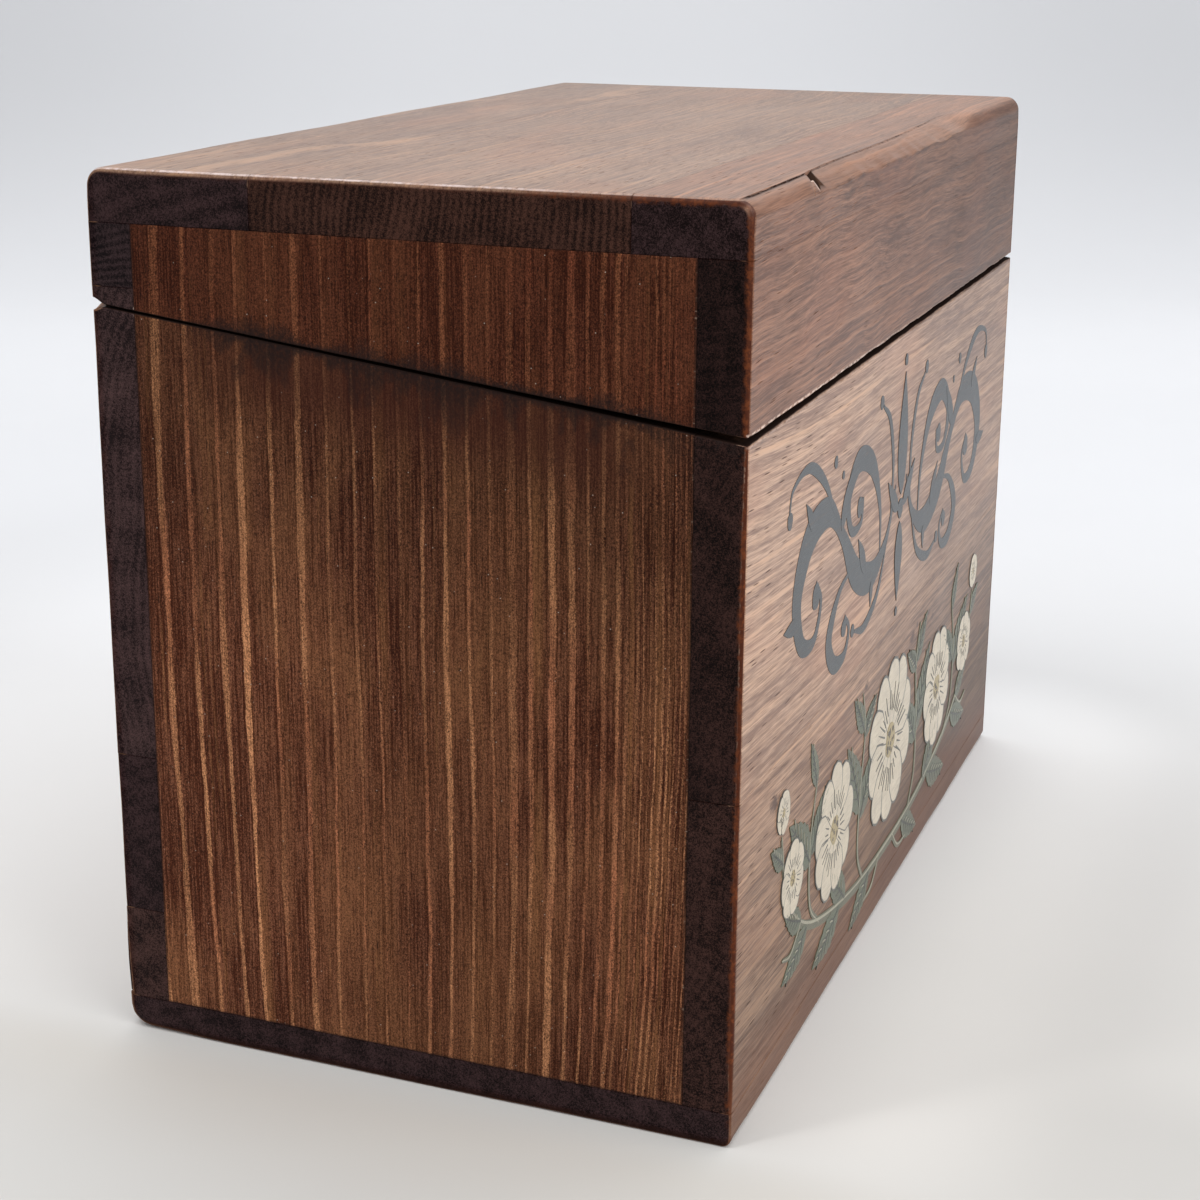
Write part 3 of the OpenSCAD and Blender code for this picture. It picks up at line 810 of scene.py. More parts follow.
# end panels: dark and lighter ground, golden shoulders, pale lines, redder lines; the lid's ends, cut from the same
# boards, take a darker, redder copy as painted shade
PANEL = (0.044, 0.0108, 0.0042), (0.150, 0.057, 0.0300), (0.205, 0.086, 0.0360), (0.42, 0.188, 0.088), (0.37, 0.140, 0.068)
LID_END_PAINTED_SHADE = (0.034, 0.0075, 0.0028), (0.090, 0.0270, 0.0135), (0.105, 0.0360, 0.0155), (0.172, 0.060, 0.0275), (0.155, 0.045, 0.0215)
BACK = dict(pith=(-60, 60), spacing=1.5, light=(0.41, 0.232, 0.140), dark=(0.138, 0.068, 0.040))
RAIL = dict(pith=(-30, 132), spacing=1.9, light=LID_LIGHT, dark=LID_DARK, line=0.52, narrow=0.5, bow=0.8, ripple=0.50, ripple_x=0.06, warm=0.18, pores=0.5)
LOWER = dict(pith=(-30, 8), spacing=1.5, light=FRONT_LIGHT, dark=FRONT_DARK, line=0.50, bow=0.30, ripple=0.16, fibre=1.25, pores=0.9, tilt=0.07)
UPPER = dict(pith=(-120, 24), spacing=1.3, light=(0.560, 0.358, 0.246), dark=(0.200, 0.102, 0.064), line=0.50, bow=0.35, ripple=0.18, fibre=1.25, pores=0.95, tilt=0.07)


# Darker band low on the front: partly the stain, partly painted shade near the table.
def bottom_stain_and_painted_shade(g, x, y, z):
    n = g.noise(x * 0.05, y * 0.1, z * 0.3, 3.0, 0.6)
    return (z + (n - 0.5) * 7.0).falling(4.0, 14.0) * 0.55


def lid_smudge(g, x, y, z):
    n = g.noise(x * 0.12, y * 0.5, z * 0.5, 3.0, 0.65)
    return (x.step(-62, -50) * x.falling(-4, 12) * z.step(107.5, 110.2) * z.falling(111.0, 112.2) * n.step(0.42, 0.66)) * 0.45


def under_cut(g, x, y, z):
    n = g.noise(x * 0.2, y * 1.0, z * 1.0, 3.0, 0.7)
    return below_rim(y, z).falling(0.05, 0.5) * n.step(0.3, 0.7) * 0.5 + below_rim(y, z).falling(0.3, 2.5) * n.step(0.45, 0.7) * x.falling(-74, -62) * 0.5


CHIP_ON = 7.5  # how much further along the chip lies than the figures below


def splinter(g, x, y, z, nx, ny, nz, colour):
    """Where the front edge of the top has lost a splinter: a painted shadow line along the break, painted shade in the
    chip and its pit, a paler broken face and a painted glint on the chip's wall.
    """
    x = x - x.falling(-30.0, 30.0) * CHIP_ON
    at = ((x + 80.0) / 160.0).clamp()
    xs = (-80, -66, -57, -53, -45, -20, 0, 20, 35, 46, 80)
    ws = (2.0, 2.15, 2.3, 2.6, 2.9, 3.0, 3.3, 4.0, 4.6, 2.6, 2.3)
    wide = g.curve(at, [((a + 80) / 160, b / 5) for a, b in zip(xs, ws)]) * 5.0
    back = y + D2 - wide
    rag = g.noise(x * 0.8, y * 1.5, 3.0, 3.0, 0.65)
    top = z.step(H - 3.2, H - 2.4)
    near = x.step(-84.0, -80.0) * x.falling(-56.3, -55.9)
    far = x.step(-55.0, -52.0) * x.falling(20, 44)
    # painted shadow: a dark line where the top steps down along the break
    dark = back.step(-0.55, -0.14) * back.falling(0.03, 0.12) * near * rag.step(0.25, 0.5, 0.6, 1.0)
    thin = back.step(-0.30, -0.08) * back.falling(0.02, 0.10) * far * rag.step(0.40, 0.62, 0.15, 0.8)
    broken = back.falling(-0.25, -0.05) * (y + D2).step(0.10, 0.5) * x.step(-84, -80) * x.falling(26, 44) * top
    streak = g.noise(x * 0.10, y * 2.4, z * 2.4, 2.0, 0.6)
    colour = g.mix(broken * streak.step(0.35, 0.62, 0.15, 0.45), colour, (0.34, 0.205, 0.152))
    smudge = (y + D2).falling(0.15, 0.7) * x.step(-54, -46) * x.falling(0, 30) * top * g.noise(x * 0.16, 4.0, z * 0.8, 3.0, 0.6).step(0.45, 0.62)
    colour = g.mix(smudge * 0.55, colour, (0.060, 0.036, 0.030))
    chip = (x + 56.4).step(-0.15, 0.05) * ((x + 56.3) + (y + D2) * -1.55 + rag * 1.8).falling(0.3, 1.2) * (y + D2).step(0.15, 0.5) * back.falling(-0.1, 0.12) * top
    # painted shadow along the break, and painted shade inside the chip
    colour = g.mix((dark * 0.95 + thin * 0.8).clamp() * top, colour, (0.020, 0.011, 0.009))
    colour = g.mix(chip.clamp() * 0.95, colour, (0.016, 0.009, 0.007))
    # painted glint on the chip's left wall
    painted_glint = (x + 56.75).abs().falling(0.08, 0.24) * (y + D2).step(0.15, 0.5) * back.falling(-0.3, 0.0) * top
    # painted shade in the chip's pit
    pit = (x + 56.35).step(-0.1, 0.05) * x.falling(-53.6, -52.8) * back.falling(-0.05, 0.1) * (H - z).step(0.25, 0.5) * (y + D2).step(0.3, 0.8) * top
    colour = g.mix(pit * 0.8, colour, (0.030, 0.017, 0.012))
    colour = g.mix(painted_glint * 0.8, colour, (0.80, 0.62, 0.52))
    return colour, ((dark + thin + chip + pit).clamp() * top - painted_glint).clamp()


mats = {
    "bottom_board": long_board("wood_bottom", 1, dict(pith=(18, -46), spacing=2.2, light=TOP_LIGHT, dark=TOP_DARK), END_GREY, END_BLACK, 2.2,
                               front=(2, LOWER), band=bottom_stain_and_painted_shade, painted_shade=front_painted_shade, level=front_level),
    "front_lower_board": long_board("wood_front_lower", 2, LOWER, END_LIGHT, END_DARK, 1.7, end_gain=1.15, band=bottom_stain_and_painted_shade, level=front_level, painted_shade=front_painted_shade,
                                    spots=((-61, -D2, 39.2, 1.5, 0.85), (-58.2, -D2, 38.6, 0.7, 0.8), (12.5, -D2, 38.2, 1.3, 0.85), (15.6, -D2, 39.4, 0.6, 0.8),
                                           (23.6, -D2, 39.0, 0.7, 0.8), (26.2, -D2, 37.4, 0.8, 0.7), (-15.8, -D2, 39.6, 0.9, 0.8))),
    "front_upper_board": long_board("wood_front_upper", 3, UPPER, (0.050, 0.0225, 0.0185), (0.0035, 0.0016, 0.0015), 1.5, soot=under_cut, level=front_level,
                                    painted_shade=front_painted_shade, cut=below_rim),
    "back_lower_strip": long_board("wood_back_lower", 4, dict(BACK, pith=(0, 60), spacing=1.6, light=(0.37, 0.196, 0.112), dark=(0.118, 0.053, 0.030), bow=1.2),
                                   (0.074, 0.037, 0.032), (0.0070, 0.0034, 0.0034), 1.6, end_gain=1.2),
    "back_middle_strip": long_board("wood_back_middle", 5, dict(BACK, pith=(10, -10), spacing=1.8, light=(0.385, 0.218, 0.134), bow=1.4), END_GREY, END_BLACK, 1.8, end_gain=1.05),
    "back_upper_board": long_board("wood_back_upper", 6, BACK, (0.080, 0.044, 0.043), (0.010, 0.0055, 0.006), 1.3, end_line=0.8, end_gain=1.05, cut=below_rim),
    "top_back_board": long_board("wood_top_back", 7, dict(pith=(17, 58), spacing=2.2, light=TOP_LIGHT, dark=TOP_DARK, line=0.6), END_GREY, END_BLACK, 2.8, end_line=1.2,
                                 painted_shade=top_painted_shade),
    "top_middle_board": long_board("wood_top_middle", 8, dict(pith=(-220, 95), spacing=1.3, light=TOP_LIGHT, dark=TOP_DARK, line=0.5, bow=3.0, ripple=1.6),
                                   (0.075, 0.032, 0.022), (0.008, 0.0030, 0.0022), 0.95, end_line=1.3, painted_shade=top_painted_shade),
    "top_front_board": long_board("wood_top_front", 9, dict(pith=(-62, 84), spacing=1.4, light=(0.44, 0.228, 0.142), dark=TOP_DARK, line=0.6, ripple=0.4),
                                  END_GREY, (0.005, 0.002, 0.002), 1.6, soot=lid_smudge, end_gain=0.9, front=(10, RAIL), painted_shade=rail_painted_shade, extra=splinter, level=0.19),
    "lid_front_rail": long_board("wood_lid_front", 10, RAIL, (0.034, 0.0150, 0.0130), (0.0016, 0.0006, 0.0006), 1.8, soot=lid_smudge, end_gain=0.95,
                                 painted_shade=rail_painted_shade, cut=above_lid, level=0.130),
    "lid_back_sliver": long_board("wood_lid_sliver", 6, BACK, (0.080, 0.044, 0.043), (0.010, 0.0055, 0.006), 1.3, end_line=0.8, cut=above_lid),
    "lid_back_rail": long_board("wood_lid_back", 12, dict(BACK, pith=(30, 40), spacing=1.4, light=(0.385, 0.212, 0.126)), (0.046, 0.027, 0.029), (0.005, 0.003, 0.0035), 0.9, end_line=1.3),
    "left_end_panel": end_panel("wood_end_left", 0, below_rim),
    "right_end_panel": end_panel("wood_end_right", 5, below_rim),
    "lid_left_end": end_panel("wood_lid_end_left", 0, above_lid, lid=True),
    "lid_right_end": end_panel("wood_lid_end_right", 5, above_lid, lid=True),
}

# ---------------------------------------------------------------- the boards' shapes
FY = -D2 + FRONT_T
KY = D2 - BACK_T


def edge_drop(board, face, side, r, seed=0, rag=0.0):
    """Rounds the long edge between a top or bottom face and a front or back side."""
    rr = r * (1 + rag * waves(board.flat, 70 + seed, ((9, 1), (3.1, 0.8), (1.3, 0.5))))
    board.sink(face, arc(board.d[side], rr))


def piece(board, node, body, joints, cut_faces=(), outer=(), inset=None, seed=1, amount=0.05):
    round_ends(board, joints, cut_faces, seed=seed)
    uneven(board, outer, amount, seed, inset or {})
    return add(board.name, board.mesh(), body, mats[node], node)


FRONT_IN = 0.14  # the front boards' faces lie this far inside, which leaves room for the paint
END_IN = 0.03

# bottom
b = Board("bottom_shell", -W2, W2, -D2, D2, 0.0, BOTTOM_T)
b.sink("b", arc(b.d["f"], 1.2 + 0.2 * waves(b.flat, 5, ((25, 1), (8, 0.5)))))
worn = 3.0 + 1.2 * np.exp(-((b.flat[:, 0] + W2) / 9) ** 2)
b.sink("b", np.minimum(arc(b.d["k"], worn) * 0.55 + arc(b.d["k"] * 0.55, worn) * 0.2, 2.6), reach=4.4)
b.sink("t", np.maximum(arc(b.d["f"], 0.07), arc(b.d["k"], 0.07)))
piece(b, "bottom_board", "box", ("t",), outer=("x0", "x1", "f", "k"), inset={"f": FRONT_IN + 0.02, "k": -0.31, "x0": END_IN}, seed=21)

# front
b = Board("front_lower_piece", -W2, W2, -D2, FY, BOTTOM_T, FRONT_LINE)
for face in "bt":
    edge_drop(b, face, "f", 0.07, seed=2, rag=0.5)
piece(b, "front_lower_board", "box", ("b", "t", "k"), outer=("x0", "x1", "f"), inset={"f": FRONT_IN + 0.03, "x0": END_IN}, seed=22)

b = Board("front_upper_piece", -W2, W2, -D2, FY, FRONT_LINE, rim_z, step=1.4)
edge_drop(b, "b", "f", 0.07, seed=3, rag=0.5)
edge_drop(b, "t", "f", 0.30, seed=4, rag=0.45)
edge_drop(b, "t", "k", 0.25, seed=5, rag=0.3)
piece(b, "front_upper_board", "box", ("b", "k"), ("t",), outer=("x0", "x1", "f"), inset={"f": FRONT_IN, "x0": END_IN}, seed=23)

# back
b = Board("back_lower_piece", -W2, W2, KY, D2, BOTTOM_T, BACK_1)
for face in "bt":
    edge_drop(b, face, "k", 0.12, seed=6, rag=0.5)
b.sink("k", 0.20 * np.exp(-(b.d["t"] / 1.1) ** 2) * (0.2 + 0.8 * np.exp(-((b.flat[:, 0] + W2) / 9) ** 2)), reach=2.6)
b.sink("k", -0.10 - 0.34 * ramp(b.flat[:, 2], BACK_1, 6.0), reach=2.6)  # the strip stands slightly proud towards the bottom
piece(b, "back_lower_strip", "box", ("b", "t", "f"), outer=("x0", "x1", "k"), inset={"k": 0.03, "x0": END_IN}, seed=24)

b = Board("back_middle_piece", -W2, W2, KY, D2, BACK_1, BACK_2)
for face in "bt":
    edge_drop(b, face, "k", 0.12, seed=7, rag=0.5)
b.sink("k", 0.20 * np.exp(-(b.d["b"] / 1.6) ** 2) * (0.2 + 0.8 * np.exp(-((b.flat[:, 0] + W2) / 9) ** 2)), reach=2.6)
piece(b, "back_middle_strip", "box", ("b", "t", "f"), outer=("x0", "x1", "k"), inset={"k": 0.07, "x0": END_IN + 0.02}, seed=25)


def cutter(name, parts):
    """One mesh of closed boxes and cylinders, in mm, to be cut out of a board."""
    bm = bmesh.new()
    for kind, m, size in parts:
        if kind == "box":
            made_ = bmesh.ops.create_cube(bm, size=1.0)
            bmesh.ops.scale(bm, vec=size, verts=made_["verts"])
        else:
            made_ = bmesh.ops.create_cone(bm, cap_ends=True, cap_tris=False, segments=40, radius1=size[0], radius2=size[0], depth=size[1])
        bmesh.ops.transform(bm, matrix=m, verts=made_["verts"])
    for v in bm.verts:
        v.co *= MM
    me = bpy.data.meshes.new(name)
    bm.to_mesh(me)
    bm.free()
    ob = bpy.data.objects.new(name, me)
    scene.collection.objects.link(ob)
    return ob


def hinge_parts(deg, lid):
    parts = []
    slope = math.radians(deg)
    off_rim = (AXIS_Z - rim_z(AXIS_Y)) * math.cos(slope) if not lid else (lid_z(AXIS_Y) - AXIS_Z) * math.cos(slope)
    for side in (-1, 1):
        base = Matrix.Translation((side * HINGE_X, AXIS_Y, AXIS_Z)) @ Matrix.Rotation(slope, 4, "X")
        depth = LEAF_DEPTH + 0.05 + 2
        if lid:
            zc = off_rim + LEAF_T / 2 - 0.5
        else:
            zc = -off_rim - LEAF_T / 2 + 0.5
        parts.append(("box", base @ Matrix.Translation((0, -LEAF_DEPTH - 0.05 + depth / 2, zc)), (HINGE_LEN + 0.1, depth, LEAF_T + 1)))
        parts.append(("cyl", base @ Matrix.Rotation(math.pi / 2, 4, "Y"), (GROOVE_R, GROOVE_LEN)))
    return parts


def carve(ob, cut):
    for c in cut:
        mod = ob.modifiers.new("cut", "BOOLEAN")
        mod.operation = "DIFFERENCE"
        mod.solver = "EXACT"
        mod.object = c
    dg = bpy.context.evaluated_depsgraph_get()
    me = bpy.data.meshes.new_from_object(ob.evaluated_get(dg), preserve_all_data_layers=True, depsgraph=dg)
    ob.modifiers.clear()
    old = ob.data
    ob.data = me
    bpy.data.meshes.remove(old)
    return ob


rim_cut = [cutter("rim_cut", [part]) for part in hinge_parts(RIM_DEG, False)]
lid_cut = [cutter("lid_cut", [part]) for part in hinge_parts(LID_DEG, True)]


def corner_wear(b):
    """Wear at the back corner of the near end, where the saw cut runs out."""
    q = b.flat
    d = np.sqrt(((q[:, 0] + W2) / 2.6) ** 2 + ((q[:, 1] - D2) / 1.9) ** 2)
    return 0.62 * ramp(d, 1.0, 0.1)


b = Board("back_upper_piece", -W2, W2, KY, D2, BACK_2, rim_z, step=1.6)
edge_drop(b, "b", "k", 0.12, seed=8, rag=0.5)
edge_drop(b, "t", "k", 0.25, seed=9, rag=0.4)
edge_drop(b, "t", "f", 0.22, seed=10, rag=0.3)
b.sink("t", corner_wear(b), reach=2.2)
o = piece(b, "back_upper_board", "box", ("b", "f"), ("t",), outer=("x0", "x1", "k"), inset={"k": 0.0, "x0": END_IN}, seed=26)
carve(o, rim_cut)

# end panels
for side, node, name, sd in ((-1, "left_end_panel", "left_end_piece", 31), (1, "right_end_panel", "right_end_piece", 33)):
    x0 = -W2 if side < 0 else W2 - END_T
    b = Board(name, x0, x0 + END_T, FY, KY, BOTTOM_T, rim_z, cross=1.6)
    outer = "x0" if side < 0 else "x1"
    inner = "x1" if side < 0 else "x0"
    wav = 1 + 0.6 * waves(b.flat, sd, ((5, 1), (1.9, 0.8)))
    depth = np.maximum(arc(b.d["f"], 0.13 * wav), arc(b.d["k"], 0.09 * wav))
    depth = np.maximum(depth, arc(b.d["b"], 0.09 * wav))
    depth = np.maximum(depth, arc(b.d["t"], 0.13 * (1 + 0.6 * waves(b.flat, sd + 1, ((4, 1), (1.4, 0.8))))))
    b.sink(outer, depth)
    b.sink(inner, arc(b.d["t"], 0.25))
    uneven(b, (outer,), 0.05, sd + 2, {outer: 0.05})
    add(name, b.mesh(), "box", mats[node], node)

# lid: top boards
b = Board("top_back_piece", -W2, W2, TOP_BACK, D2, H - TOP_T, H)
b.sink("t", arc(b.d["k"], 2.2 + 0.25 * waves(b.flat, 41, ((40, 1), (14, 0.5)))))
b.sink("t", arc(b.d["f"], 0.05))
edge_drop(b, "b", "k", 0.07, seed=12, rag=0.5)
piece(b, "top_back_board", "lid", ("f", "b"), outer=("x0", "x1", "t", "k"), inset={"x0": END_IN}, seed=42)

b = Board("top_middle_piece", -W2, W2, TOP_FRONT, TOP_BACK, H - TOP_T, H)
b.sink("t", np.maximum(arc(b.d["k"], 0.05), arc(b.d["f"], 0.05)))
piece(b, "top_middle_board", "lid", ("f", "k", "b"), outer=("x0", "x1", "t"), inset={"x0": END_IN + 0.01}, seed=42)

# the front strip of the top has lost a long splinter along its front edge, with a chip at its near end
FACET = 3.0
y_lines = [0, 0.02, 0.06, 0.12, 0.2, 0.3, 0.42, 0.56, 0.72, 0.9, 1.12, 1.4, 1.7, 2.0, 2.3, 2.6, 2.85, FACET, 3.06, 3.15, 3.4, 3.8, 4.4, 5.2, 6.4, 8, 9.8,
           11.2, 12.2, 12.8, 13.2, 13.5, 13.75, 13.95, 14.08, 14.16, 14.2]
chip_lines = [W2 + CHIP_ON + v for v in (-60.2, -59.6, -59.0, -58.4, -57.8, -57.3, -56.9, -56.62, -56.5, -56.42, -56.2, -55.9, -55.6, -55.3, -55.0, -54.7, -54.4, -54.1, -53.8, -53.5, -53.2, -52.8, -52.3, -51.6, -50.8)]
b = Board("top_front_piece", -W2, W2, -D2, TOP_FRONT, H - TOP_T, H, step=1.3, x_extra=chip_lines, y_cuts=y_lines)
qx = b.flat[:, 0].copy()
tq = np.clip((qx + 30) / 60, 0, 1)
qx = qx - CHIP_ON * (1 - tq * tq * (3 - 2 * tq))
fd = b.d["f"]
span = ramp(qx, 44, 30)  # where the splinter is missing
wide = np.interp(qx, [-76.2, -66, -57, -53, -45, -20, 0, 20, 35, 46, 76.2], [2.0, 2.15, 2.3, 2.6, 2.9, 3.0, 3.3, 4.0, 4.6, 2.6, 2.3])
wide = wide + 0.10 * waves(np.column_stack([qx, 0 * qx, 0 * qx]), 51, ((13, 1), (4.5, 0.8), (1.9, 0.5))) * span
k = wide / FACET
new_fd = np.where(fd <= 3.06, fd * k, 3.06 * k + (fd - 3.06) * (8 - 3.06 * k) / (8 - 3.06))
new_fd = np.where(fd >= 8, fd, new_fd)
b.p[:, 1] = -D2 + new_fd
b.d["f"] = new_fd
uu = np.clip(fd / FACET, 0, 1)
rag = waves(np.column_stack([qx, 0 * qx, 0 * qx + 9]), 52, ((17, 1), (6, 0.7), (2.2, 0.5)))
round_part = arc(new_fd, 2.2)
fall = np.interp(qx, [-76.2, -57, -52, -20, 20, 36, 46], [2.2, 2.3, 2.1, 2.2, 1.9, 1.6, 2.2]) * (1 + 0.12 * rag * span)
planed = fall * (1 - uu) ** 1.25
blend_ = ramp(qx, -58.5, -52) * span
drop = round_part * (1 - blend_) + planed * blend_
step_h = np.where(fd <= FACET + 1e-6, 1.0, 0.0) * (0.13 + 0.05 * rag) * ramp(qx, 42, 24) * (1 - 0.35 * ramp(qx, -20, 20))
drop = drop + np.where(uu >= 1, 0, 0) + step_h * (0.35 + 0.65 * uu)
# the chip
shear = -3.0 * (1 - uu) * np.exp(-((qx + 56.5) / 7.0) ** 2)
xi = qx
room = 3.3 * np.clip((uu - 0.02) / 0.98, 0, 1)
inside = (xi >= -56.5 - 1e-6) & (fd <= FACET + 1e-6)
chip = np.where(inside, np.clip(1 - (xi + 56.5) / np.maximum(room, 1e-3), 0, 1), 0.0)
chip = chip * (0.85 + 0.25 * waves(b.flat, 53, ((1.6, 1), (0.7, 0.6))))
drop = drop + 1.0 * chip
b.p[:, 1] += 0.55 * chip * np.clip(1 - b.d["t"] / 2.5, 0, 1)
b.p[:, 0] += shear * np.clip(1 - b.d["t"] / 4.5, 0, 1)
b.sink("t", np.where(b.on["t"] | (b.d["t"] < 6), drop, 0), reach=5.2)
b.sink("t", arc(b.d["k"], 0.05))
edge_drop(b, "b", "f", 0.03, seed=13, rag=0.5)
piece(b, "top_front_board", "lid", ("k", "b"), outer=("x0", "x1", "t", "f"), inset={"f": FRONT_IN - 0.03, "x0": END_IN}, seed=42)

# lid: front rail, back rail and sliver, ends
b = Board("lid_front_piece", -W2, W2, -D2, FY, lid_z, H - TOP_T, step=1.2)
edge_drop(b, "t", "f", 0.03, seed=14, rag=0.5)
edge_drop(b, "b", "f", 0.30, seed=15, rag=0.85)
edge_drop(b, "b", "k", 0.25, seed=16, rag=0.3)
piece(b, "lid_front_rail", "lid", ("t", "k"), ("b",), outer=("x0", "x1", "f"), inset={"f": FRONT_IN - 0.03, "x0": END_IN}, seed=42)

b = Board("lid_sliver_piece", -W2, W2, KY, D2, lid_z, BACK_3, step=1.6)
edge_drop(b, "t", "k", 0.09, seed=17, rag=0.5)
b.sink("b", arc(b.d["k"], 0.25), reach=0.9)
b.sink("b", corner_wear(b), reach=2.0)
o = piece(b, "lid_back_sliver", "lid", ("t", "f"), ("b",), outer=("x0", "x1", "k"), inset={"k": 0.02, "x0": END_IN + 0.02}, seed=45)
carve(o, lid_cut)

b = Board("lid_back_piece", -W2, W2, KY, D2, BACK_3, H - TOP_T)
for face in "bt":
    edge_drop(b, face, "k", 0.09, seed=18, rag=0.5)
o = piece(b, "lid_back_rail", "lid", ("b", "t", "f"), outer=("x0", "x1", "k"), inset={"k": 0.0, "x0": END_IN}, seed=46)
carve(o, lid_cut)

for side, node, name, sd in ((-1, "lid_left_end", "lid_left_piece", 61), (1, "lid_right_end", "lid_right_piece", 63)):
    x0 = -W2 if side < 0 else W2 - END_T
    b = Board(name, x0, x0 + END_T, FY, KY, lid_z, H - TOP_T, cross=1.6)
    outer = "x0" if side < 0 else "x1"
    inner = "x1" if side < 0 else "x0"
    wav = 1 + 0.6 * waves(b.flat, sd, ((5, 1), (1.9, 0.8)))
    depth = np.maximum(arc(b.d["f"], 0.10 * wav), arc(b.d["k"], 0.08 * wav))
    depth = np.maximum(depth, arc(b.d["t"], 0.09 * wav))
    depth = np.maximum(depth, arc(b.d["b"], 0.14 * (1 + 0.6 * waves(b.flat, sd + 1, ((4, 1), (1.4, 0.8))))))
    b.sink(outer, depth)
    b.sink(inner, arc(b.d["b"], 0.25))
    uneven(b, (outer,), 0.05, sd + 2, {outer: 0.04})
    add(name, b.mesh(), "lid", mats[node], node)

for c in rim_cut + lid_cut:
    bpy.data.objects.remove(c)

# ---------------------------------------------------------------- painted decoration on the front
# Every shape is a strip between two edge lines in (X, Z), in mm, and becomes a thin closed slab of paint.


def through(points, n=14):
    """Smooth curve through the points, n steps per span."""
    p = np.array(points, float)
    p = np.vstack([2 * p[0] - p[1], p, 2 * p[-1] - p[-2]])
    t = np.linspace(0, 1, n, endpoint=False)[:, None]
    out = [0.5 * (2 * b + (c - a) * t + (2 * a - 5 * b + 4 * c - d) * t**2 + (3 * b - a - 3 * c + d) * t**3) for a, b, c, d in zip(p, p[1:], p[2:], p[3:])]
    return np.vstack(out + [p[-2:-1]])


def stroke(points, widths, n=14):
    """Brush stroke through the points; the widths are spread evenly along it."""
    p = through(points, n)
    t = np.gradient(p, axis=0)
    t /= np.linalg.norm(t, axis=1)[:, None]
    side = np.column_stack([-t[:, 1], t[:, 0]])
    s = np.concatenate([[0], np.cumsum(np.linalg.norm(np.diff(p, axis=0), axis=1))])
    w = through([(i, v) for i, v in enumerate(widths)], 20)
    w = np.interp(s / s[-1] * (len(widths) - 1), w[:, 0], w[:, 1]).clip(0.12)
    return p + side * w[:, None] / 2, p - side * w[:, None] / 2


def turned(shape, x, z, deg):
    a = math.radians(deg)
    m = np.array([[math.cos(a), math.sin(a)], [-math.sin(a), math.cos(a)]])
    return tuple(e @ m + (x, z) for e in shape)


def both(shape):
    return [shape, tuple(e * (-1, 1) for e in shape)]


def leaf_shape(length, width, bend=0.0, wave=0.0, teeth=0):
    s = np.linspace(0, 1, 34)
    w = width / 2 * np.sin(math.pi * s**0.80).clip(0) ** 0.9 * (1 - 0.25 * s)
    if teeth:
        w = w * (1 + wave * (((s * teeth) % 1.0) - 0.5) * (s > 0.12) * (s < 0.94))
    w = w.clip(0.02)
    mid = bend * length * s * s
    return np.column_stack([s * length, mid + w]), np.column_stack([s * length, mid - w])


def petal_shape(length, width, start, lobe=0.0):
    s = np.linspace(0, 1, 26)
    w = width / 2 * np.clip(0.22 + 0.95 * np.sin(math.pi * 0.5 * np.clip(s * 1.35, 0, 1)) ** 1.3, 0, 1.0)
    w = (w * np.sqrt(np.clip(1 - np.clip((s - 0.68) / 0.32, 0, 1) ** 2, 0, 1))).clip(0.02)
    x = start + s * (length - start)
    return np.column_stack([x + lobe * s * w, w]), np.column_stack([x - lobe * s * w, -w])


def disc_shape(x, z, r, rng, lumps=0.04):
    a = np.linspace(0.04, math.pi - 0.04, 14)
    p, q = rng.uniform(0, 6, 2)

    def ring(b):
        rr = r * (1 + lumps * np.sin(b * 3 + p) + lumps * 0.6 * np.sin(b * 5 + q))
        return np.column_stack([x + rr * np.cos(b), z + rr * np.sin(b)])

    return ring(a), ring(-a)


def paint_mesh(name, shapes, level, step=0.0008, every=60):
    """Slabs of paint whose front faces lie level mm, and a little more for each further shape, from the box's middle plane."""
    verts, faces = [], []
    for i, (a, b) in enumerate(shapes):
        n, base = len(a), len(verts)
        front, rear = -(level + step * (i % every)), -41.93
        for edge, y in ((a, front), (b, front), (a, rear), (b, rear)):
            verts += [(px * MM, y * MM, pz * MM) for px, pz in edge]
        fa, fb, ra, rb = base, base + n, base + 2 * n, base + 3 * n
        for k in range(n - 1):
            faces.append((fa + k, fa + k + 1, fb + k + 1, fb + k))
            faces.append((rb + k, rb + k + 1, ra + k + 1, ra + k))
            faces.append((ra + k, ra + k + 1, fa + k + 1, fa + k))
            faces.append((fb + k, fb + k + 1, rb + k + 1, rb + k))
        faces.append((fa, fb, rb, ra))
        faces.append((fa + n - 1, ra + n - 1, rb + n - 1, fb + n - 1))
    me = bpy.data.meshes.new(name)
    me.from_pydata(verts, [], faces)
    bm = bmesh.new()
    bm.from_mesh(me)
    bmesh.ops.recalc_face_normals(bm, faces=bm.faces)
    bm.to_mesh(me)
    bm.free()
    uv = me.uv_layers.new(name="OFBake")
    idx = np.empty(len(me.loops), np.int32)
    me.loops.foreach_get("vertex_index", idx)
    co = np.array(verts)[idx]
    uv.data.foreach_set("uv", np.column_stack([(co[:, 0] / MM + 62) / 124, co[:, 2] / MM / 124]).astype(np.float32).ravel())
    me.update()
    return me


